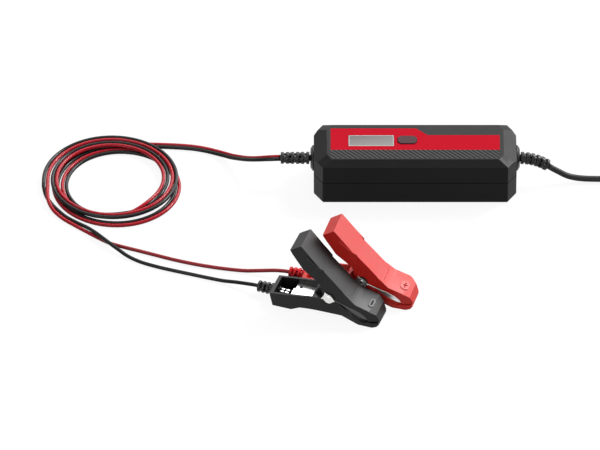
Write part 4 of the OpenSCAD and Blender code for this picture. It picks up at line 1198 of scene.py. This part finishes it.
for colour in ("black", "red"):
    at_clamp = clamp_place(colour)
    plastic = CLAMP_PLASTIC[colour]
    for half, window_in in (("lower", LOWER_WINDOW_IN), ("upper", UPPER_WINDOW_IN)):
        node = f"{colour}_{half}_handle"
        body = "charger" if half == "lower" else f"{colour}_clamp_top"
        grip = piece(f"{node}_grip", merged(node), plastic)
        cut(grip, *(
            slab(JAW_WINDOW, side * window_in, side * CLAMP_REACH * 1000, at_clamp)
            for side in (-1, 1)
        ))
        if half == "upper":
            z = height_on(GRIP_TOP, INSERT_LINE_AT)
            line = tilted(
                INSERT_LINE_AT, z, INSERT_LINE_TILT, INSERT_LINE_WIDE, -INSERT_LINE_DEEP, 1
            )
            cut(grip, slab(line, -INSERT_LINE_HALF, INSERT_LINE_HALF, at_clamp))
        round_edges(grip, CLAMP_EDGE, grip_edge(at_clamp))
        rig.ride(grip, body)
        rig.replaces(grip, node)
        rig.slot(grip, f"clamp_{colour}")

    # The lip along both sides of the paddle
    bm = bmesh.new()
    for side in (-1, 1):
        lip = [Vector((x, side * y, z)) / 1000 for (x, z), y in zip(GRIP_LIP, GRIP_LIP_OUT)]
        tube(bm, lip, LIP_RADIUS, sides=10, across=Vector((0, 1, 0)))
    bm.transform(at_clamp)
    lips = piece(f"{colour}_grip_lips", bm, plastic)
    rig.ride(lips, f"{colour}_clamp_top")
    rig.slot(lips, f"clamp_{colour}")

    # The pad and its sign
    half_y, half_x = PADS[colour]
    bm = bmesh.new()
    rim = [
        (half_x * math.cos(a), half_x * math.sin(a) + math.copysign(half_y - half_x, math.sin(a)))
        for a in round_angles(PAD_SIDES)
    ]
    loft(bm, [[Vector((x, y, z)) / 1000 for x, y in rim] for z in (-PAD_SINK, PAD_RISE)])
    pad_place = at_clamp @ Matrix.Translation(
        Vector((PAD_AT, PAD_SIDE, height_on(GRIP_TOP, PAD_AT))) / 1000
    ) @ Matrix.Rotation(-PAD_TILT, 4, "Y")
    bm.transform(pad_place)
    pad = piece(f"{colour}_polarity_pad", bm, PAD_PLASTIC_PAINTED_LIGHTER[colour])
    bars = [(MARK_WIDTH, MARK_HALF)]
    if colour == "red":
        bars.append((MARK_HALF * 0.66, MARK_WIDTH))
    # The cutters carry the darker finish onto the engraved bars, which paints shade in them.
    for bar_x, bar_y in bars:
        corners = [(-bar_x, MARK_FLOOR), (bar_x, MARK_FLOOR), (bar_x, 2), (-bar_x, 2)]
        cut(pad, slab(corners, -bar_y, bar_y, pad_place, SIGN_PAINTED_SHADE[colour]))
    round_edges(pad, PAD_EDGE, segments=2, crease=40)
    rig.ride(pad, f"{colour}_clamp_top")
    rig.slot(pad, f"clamp_{colour}")

# ------------------------------------------------------------------------- clamp steel
# Jaws, crimps and lug plates stamped from bright nickel-plated steel strip. The lug plates,
# each with two ears, are riveted over the ends of the pivot pin, on black nylon bushes.
PLATE_EDGE = 0.00018


def bright_metal(name, colour, roughness, brushed=900):
    """Plated metal, brushed lengthways and a little cloudy."""
    material, shader, place = new_finish(name, metallic=1.0)
    stretched = place.node("ShaderNodeMapping", None, {0: place, 3: (1.0, 9.0, 6.0)})
    brush = stretched.noise(brushed, 2)
    cloud = place.noise(90, 3)
    wire_up(
        shader,
        base_color=cloud.mix(tinted(colour, 0.86), colour),
        roughness=(cloud * 0.5 + brush * 0.5).between(roughness - 0.07, roughness + 0.1),
        normal=bump(brush, 0.00001),
    )
    return material


STEEL = bright_metal("plated_steel", (0.8, 0.8, 0.79), 0.3)
PIN_STEEL = bright_metal("pin_steel", (0.86, 0.86, 0.85), 0.34)
LUG_OUTLINE = [
    (48.3, 27.6), (50.5, 25.8), (53.0, 25.0), (54.9, 23.4), (56.3, 21.4), (57.6, 19.2),
    (55.6, 18.2), (53.8, 16.5), (51.8, 15.9), (49.4, 16.7), (47.6, 18.6), (46.9, 19.6),
    (44.6, 19.3), (46.6, 22.2), (47.6, 24.2),
]
LUG_IN, LUG_OUT = 12.2, 12.9
RIVET_RADIUS, RIVET_RISE, RIVET_SINK, RIVET_STEPS = 2.6, 0.35, 0.3, 5
PIN_RADIUS = 2
BUSH_RADIUS, BUSH_IN = 5.5, 9.4
BUSH_NYLON = moulded("bush_nylon", (0.012, 0.012, 0.012), 0.5, shine=0.2)
# What the upper jaw shows in its window: a folded flange along the window's upper half
FLANGE = [
    (55.5, 20.8), (66, 17.2), (70, 16.0), (76, 14.2), (81.8, 11.8), (85.8, 9.0), (88, 5.9),
    (84, 6.2), (78, 8.4), (72, 11.6), (68, 14.6), (64, 16.8), (55.5, 20.0),
]
FLANGE_IN, FLANGE_OUT, FLANGE_EDGE = 10.9, 12.1, 0.0003
# On the black clamp the flange takes a darkened copy of the steel: painted shade over it in its window.
SHADE_PAINTED_STEEL = bright_metal("dark_steel", (0.1, 0.1, 0.1), 0.4)
FLANGE_STEEL_AND_PAINTED_SHADE = {"black": SHADE_PAINTED_STEEL, "red": STEEL}


def pivot_ring(radius, y, sides):
    """A circle around the pivot's line, in a clamp's own millimetres."""
    return [
        Vector((
            RIVET_AT[0] + radius * math.cos(a), y, RIVET_AT[1] + radius * math.sin(a)
        )) / 1000
        for a in round_angles(sides)
    ]


def lug_plate(bm, side):
    """One lug plate with its domed rivet."""
    loft(bm, [
        [Vector((x, side * y, z)) / 1000 for x, z in LUG_OUTLINE] for y in (LUG_IN, LUG_OUT)
    ])
    dome = [
        (RIVET_RADIUS * math.cos(a), RIVET_RISE * math.sin(a))
        for a in (k / RIVET_STEPS * math.pi / 2 for k in range(RIVET_STEPS))
    ]
    loft(bm, [
        pivot_ring(radius, side * (LUG_OUT + rise), 28)
        for radius, rise in [(RIVET_RADIUS, -RIVET_SINK), *dome]
    ])


def round_bar(bm, radius, y_from, y_to, index):
    """A bar across the clamp on its pivot's line."""
    loft(bm, [pivot_ring(radius, y, 36) for y in (y_from, y_to)], index)


for colour in ("black", "red"):
    at_clamp = clamp_place(colour)
    for node in (f"{colour}_lower_jaw", f"{colour}_upper_jaw", f"{colour}_crimp"):
        finish_node(node, STEEL)
    bm = bmesh.new()
    for side in (-1, 1):
        lug_plate(bm, side)
        round_bar(bm, BUSH_RADIUS, side * BUSH_IN, side * LUG_IN, 1)
    round_bar(bm, PIN_RADIUS, -BUSH_IN, BUSH_IN, 0)
    bm.transform(at_clamp)
    lugs = piece(f"{colour}_pivot_lugs", bm, PIN_STEEL, BUSH_NYLON)
    round_edges(lugs, PLATE_EDGE, segments=2, crease=50)
    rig.ride(lugs, "charger")
    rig.replaces(lugs, f"{colour}_pivot_pin")
    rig.slot(lugs, "pin")
    flanges = joined(f"{colour}_jaw_flanges", [
        slab(FLANGE, side * FLANGE_IN, side * FLANGE_OUT, at_clamp, FLANGE_STEEL_AND_PAINTED_SHADE[colour])
        for side in (-1, 1)
    ])
    round_edges(flanges, FLANGE_EDGE, segments=2, crease=40)
    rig.ride(flanges, f"{colour}_clamp_top")
    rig.slot(flanges, "steel")

# -------------------------------------------------------------------------- clamp springs
# A torsion spring of round wire: a short leg in the lower grip, four curls around the pin,
# and a long leg that follows the upper grip. The curls wind up as the clamp is squeezed.
SPRING_WIRE = 0.0015
SPRING_RADIUS = 0.0043
SPRING_PITCH = 0.002
SPRING_CURLS = 4
SPRING_FROM, SPRING_TO = math.radians(-17.5), math.radians(25 + 360 * SPRING_CURLS)
SHORT_LEG, LONG_LEG = 0.009, 0.018
SPRING_STEPS = 120
TWIST_HALF = 0.0032
SPRING_STEEL = bright_metal("spring_steel", (0.42, 0.42, 0.44), 0.34)


def on_spring(angle):
    return Vector((
        RIVET_AT[0] / 1000 + SPRING_RADIUS * math.cos(angle),
        SPRING_PITCH * ((angle - SPRING_FROM) / (2 * math.pi) - SPRING_CURLS / 2),
        RIVET_AT[1] / 1000 + SPRING_RADIUS * math.sin(angle),
    ))


def tangent(angle):
    return Vector((-math.sin(angle), 0, math.cos(angle)))


for colour in ("black", "red"):
    curls = [
        on_spring(SPRING_FROM + (SPRING_TO - SPRING_FROM) * k / SPRING_STEPS)
        for k in range(SPRING_STEPS + 1)
    ]
    wire = [
        curls[0] - SHORT_LEG * tangent(SPRING_FROM), curls[0] - SPRING_WIRE * tangent(SPRING_FROM),
        *curls,
        curls[-1] + SPRING_WIRE * tangent(SPRING_TO), curls[-1] + LONG_LEG * tangent(SPRING_TO),
    ]
    bm = bmesh.new()
    tube(bm, wire, SPRING_WIRE / 2, across=Vector((0, 1, 0)))
    at_clamp = clamp_place(colour)
    bm.transform(at_clamp)
    spring = piece(f"{colour}_torsion_spring", bm, SPRING_STEEL)
    first, last = (
        at_clamp @ Vector((RIVET_AT[0] / 1000, side * TWIST_HALF, RIVET_AT[1] / 1000))
        for side in (-1, 1)
    )
    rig.blend(spring, "charger", f"{colour}_clamp_top", first, last)
    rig.replaces(spring, f"{colour}_spring")
    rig.slot(spring, "spring")

# ---------------------------------------------------------------------------- cable boots
# Soft PVC boots pushed over the cable end of each clamp: four ribs on a thin neck, joined by
# bridges, and a collar inside the grip's end wall.
RED_RUBBER = rubber("red_rubber", 0.18, (0.42, 0.004, 0.009), (0.54, 0.006, 0.012))
NECK_RADIUS, COLLAR_RADIUS = 0.0026, 0.004
BOOT_RIBS, BOOT_STEP, BOOT_THICKNESS = 4, 0.004, 0.0022
BOOT_FIRST, BOOT_LAST, BOOT_INSET = 0.0051, 0.0054, 0.0005
NECK_END, COLLAR_FROM, COLLAR_TO = 0.0034, 0.0022, 0.0034


def on_axis(*places):
    return [Vector((x, 0, WIRE_Z)) for x in places]


for colour, rubber, slot in (
    ("black", RUBBER, "rubber_black"), ("red", RED_RUBBER, "rubber_red"),
):
    at_clamp = clamp_place(colour)
    bm = bmesh.new()
    tube(bm, on_axis(-BOOT_LENGTH, -BOOT_LENGTH / 2, NECK_END), NECK_RADIUS, sides=24)
    tube(bm, on_axis(COLLAR_FROM, COLLAR_TO), COLLAR_RADIUS, sides=24)
    bm.transform(at_clamp)
    neck = piece(f"{colour}_boot_neck", bm, rubber)
    first = -BOOT_LENGTH + BOOT_INSET + BOOT_THICKNESS / 2
    ribs = ribs_on(
        f"{colour}_boot_ribs",
        [at_clamp @ p for p in on_axis(*(
            first + BOOT_STEP * k / 4 for k in range(4 * (BOOT_RIBS - 1) + 1)))],
        rubber, BOOT_RIBS, BOOT_FIRST, BOOT_LAST, BOOT_THICKNESS,
    )
    boot = joined(f"{colour}_cable_boot", [neck, ribs])
    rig.ride(boot, "charger")
    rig.replaces(boot, f"{colour}_boot")
    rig.slot(boot, slot)

# -------------------------------------------------------------------- mains plug and strap
# A flat two-pin plug moulded onto the lead in black PVC. Its brass pins are nickel-plated
# and sleeved for half their length. A woven hook-and-loop strap holds the coiled lead.
PIN_SLEEVE = 0.010
plug = dressed(
    "plug_body", "plug_moulding", moulded("plug_plastic", (0.02, 0.02, 0.021), 0.42, shine=0.3),
    0.0012, crease=35,
)
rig.slot(plug, "plug")
pins_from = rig.box("plug_body")[0].y
contact, shader, place = new_finish("sleeved_contact", specular_ior_level=0.4)
bare = place.axes()[1] < pins_from - PIN_SLEEVE
wear = place.noise(300, 3)
wire_up(
    shader,
    base_color=bare.mix((0.015, 0.015, 0.015), wear.mix((0.68, 0.66, 0.6), (0.8, 0.79, 0.75))),
    metallic=bare,
    roughness=bare.between(0.45, 0.25) + wear * 0.08,
    normal=bump(wear, 0.00001),
)
pins = dressed("plug_pins", "plug_contacts", contact, 0.0007, crease=50)
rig.slot(pins, "contacts")

STRAP_TURN = math.radians(200)
STRAP_WIDTH, STRAP_THICK = 0.010, 0.0006
STRAP_WEAVE = 0.0007
STRAP_CORNER = 0.0022
STRAP_CLEAR = 0.0003
CORNER_STEPS = 6
STRAP_EDGE = 0.00018
strap_in = WOUND_RADIUS - WOUND_PITCH * WOUND_TURNS / 2 - MAINS / 2 - STRAP_CLEAR
strap_out = WOUND_RADIUS + MAINS / 2 + STRAP_CLEAR
strap_top = WOUND_Z + WOUND_PITCH + MAINS / 2 + STRAP_CLEAR


def strap_loop(grow):
    """A rounded rectangle around the coil's section: distance from its middle and height."""
    lo, hi = strap_in - grow, strap_out + grow
    bottom, top = STRAP_THICK - grow, strap_top + grow
    radius = STRAP_CORNER + grow
    loop = []
    for x, z, start in (
        (hi - radius, bottom + radius, -90), (hi - radius, top - radius, 0),
        (lo + radius, top - radius, 90), (lo + radius, bottom + radius, 180),
    ):
        for k in range(CORNER_STEPS + 1):
            a = math.radians(start + 90 * k / CORNER_STEPS)
            loop.append((x + radius * math.cos(a), z + radius * math.sin(a)))
    return loop


woven, shader, place = new_finish("woven_strap", specular_ior_level=0.2)
local = place.node("ShaderNodeMapping", None, {
    0: place, 1: (0, 0, 0), 2: (0, 0, -STRAP_TURN), 3: (1 / STRAP_WEAVE,) * 3,
})
across, along, upwards = local.axes()
weave = along.pingpong() * (across + upwards).pingpong() * 4
wire_up(
    shader,
    base_color=weave.mix((0.012, 0.012, 0.013), (0.045, 0.045, 0.047)),
    roughness=place.noise(400, 2).between(0.75, 0.95),
    normal=bump(weave, 0.0001),
)
bm = bmesh.new()
across_strap = Matrix.Translation(WOUND_AT.to_3d()) @ Matrix.Rotation(STRAP_TURN, 4, "Z")
loft(bm, [
    [across_strap @ Vector((x, y * STRAP_WIDTH / 2, z)) for x, z in strap_loop(grow)]
    for grow, y in ((0, -1), (0, 1), (STRAP_THICK, 1), (STRAP_THICK, -1))
], loop=True)
strap = piece("cable_strap", bm, woven)
round_edges(strap, STRAP_EDGE, segments=2, crease=50)
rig.ride(strap, "charger")
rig.replaces(strap, "coil_tie")
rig.slot(strap, "tie")

# ------------------------------------------------------------- what closes the case
# A black silicone cord lies in the joint, four zinc-plated screws come up through the base,
# and a nylon nut holds each gland from inside.
SILICONE = moulded("silicone", (0.02, 0.02, 0.02), 0.6, shine=0.3)
ZINC = bright_metal("zinc_screws", (0.55, 0.56, 0.58), 0.38)
NYLON = moulded("nylon", (0.03, 0.03, 0.03), 0.5)
for node, material in (
    ("case_seal", SILICONE), ("case_screws", ZINC), ("board_screws", ZINC),
    ("display_screws", ZINC), ("gland_nuts", NYLON),
):
    finish_node(node, material)

# ------------------------------------------------------------------- boards and switch
# Glass-fibre boards under green solder mask with copper tracks, the key's small switch and
# its acetal plunger, and a grey ribbon cable between the boards.
TRACK = 0.0032
TRACK_X, TRACK_Y = 0.36, 0.4
RIBBON_STRANDS = 787  # to the metre


def board_mask():
    """Green solder mask over copper tracks, which show as paler, slightly raised lines."""
    material, shader, place = new_finish("solder_mask", specular_ior_level=0.5)
    waved = place.node(
        "ShaderNodeVectorMath", {"operation": "MULTIPLY_ADD"},
        {0: place.noise(40, 1), 1: (0.01, 0.01, 0.01), 2: place},
    )
    x, y = ((axis * (1 / TRACK)).pingpong() for axis in waved.axes()[:2])
    track = x.maths("MAXIMUM", x > TRACK_X, y > TRACK_Y)
    wire_up(
        shader,
        base_color=track.mix((0.006, 0.06, 0.02), (0.02, 0.16, 0.05)),
        roughness=place.noise(200, 2).between(0.28, 0.4),
        normal=bump(track, 0.00004),
    )
    return material


BOARD = board_mask()
ribbon, shader, place = new_finish("ribbon_sheath")
strand = (place.axes()[0] * RIBBON_STRANDS).pingpong()
wire_up(
    shader,
    base_color=strand.mix((0.22, 0.22, 0.23), (0.42, 0.42, 0.43)),
    roughness=place.noise(200, 2).between(0.4, 0.55),
    normal=bump(strand, 0.0003),
)
for node, material in (
    ("main_board", BOARD), ("display_board", BOARD), ("ribbon_cable", ribbon),
    ("tact_switch", moulded("switch_plastic", (0.03, 0.03, 0.032), 0.4)),
    ("switch_plunger", moulded("acetal", (0.7, 0.7, 0.68), 0.45)),
):
    finish_node(node, material)

# ----------------------------------------------------------------- power components
# Ferrite core, taped winding, sleeved capacitors, epoxy packages, ceramic fuse, choke of
# enamelled copper on a ring, and an extruded aluminium heatsink.
WIRE_TURN = 0.0009


def wound_finish(name, dark, light, axis, metallic=0.0):
    """Turns of wire or tape side by side along an axis."""
    material, shader, place = new_finish(name, metallic=metallic)
    turn = (place.axes()[axis] * (1 / WIRE_TURN)).pingpong() * 2
    wire_up(
        shader,
        base_color=turn.mix(dark, light),
        roughness=place.noise(250, 2).between(0.3, 0.45),
        normal=bump(turn, 0.0003),
    )
    return material


for node, material in (
    ("transformer_core", moulded("ferrite", (0.05, 0.05, 0.052), 0.65, grain=0.00006)),
    ("transformer_winding", wound_finish(
        "winding_tape", (0.45, 0.3, 0.02), (0.62, 0.45, 0.05), 2)),
    ("mains_capacitor", moulded("capacitor_sleeve", (0.02, 0.03, 0.07), 0.3)),
    ("output_capacitors", moulded("output_sleeve", (0.02, 0.02, 0.022), 0.3)),
    ("bridge_rectifier", moulded("epoxy", (0.02, 0.02, 0.02), 0.55)),
    ("power_transistors", moulded("package_epoxy", (0.022, 0.022, 0.022), 0.5)),
    ("filter_choke", wound_finish(
        "enamelled_copper", (0.3, 0.08, 0.02), (0.62, 0.2, 0.06), 0, 1.0)),
    ("fuse", moulded("fuse_ceramic", (0.6, 0.58, 0.52), 0.35)),
    ("heatsink", bright_metal("extruded_aluminium", (0.7, 0.7, 0.71), 0.42)),
    ("inner_wires", moulded("wire_sheath", (0.3, 0.02, 0.02), 0.4)),
):
    finish_node(node, material)

# ------------------------------------------------------------------------- finish
size = {
    "solids": [list(corner) for corner in solid_box],
    "dressed": [list(corner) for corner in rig.bounds()],
}
with open("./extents.json", "w") as out:
    json.dump(size, out)
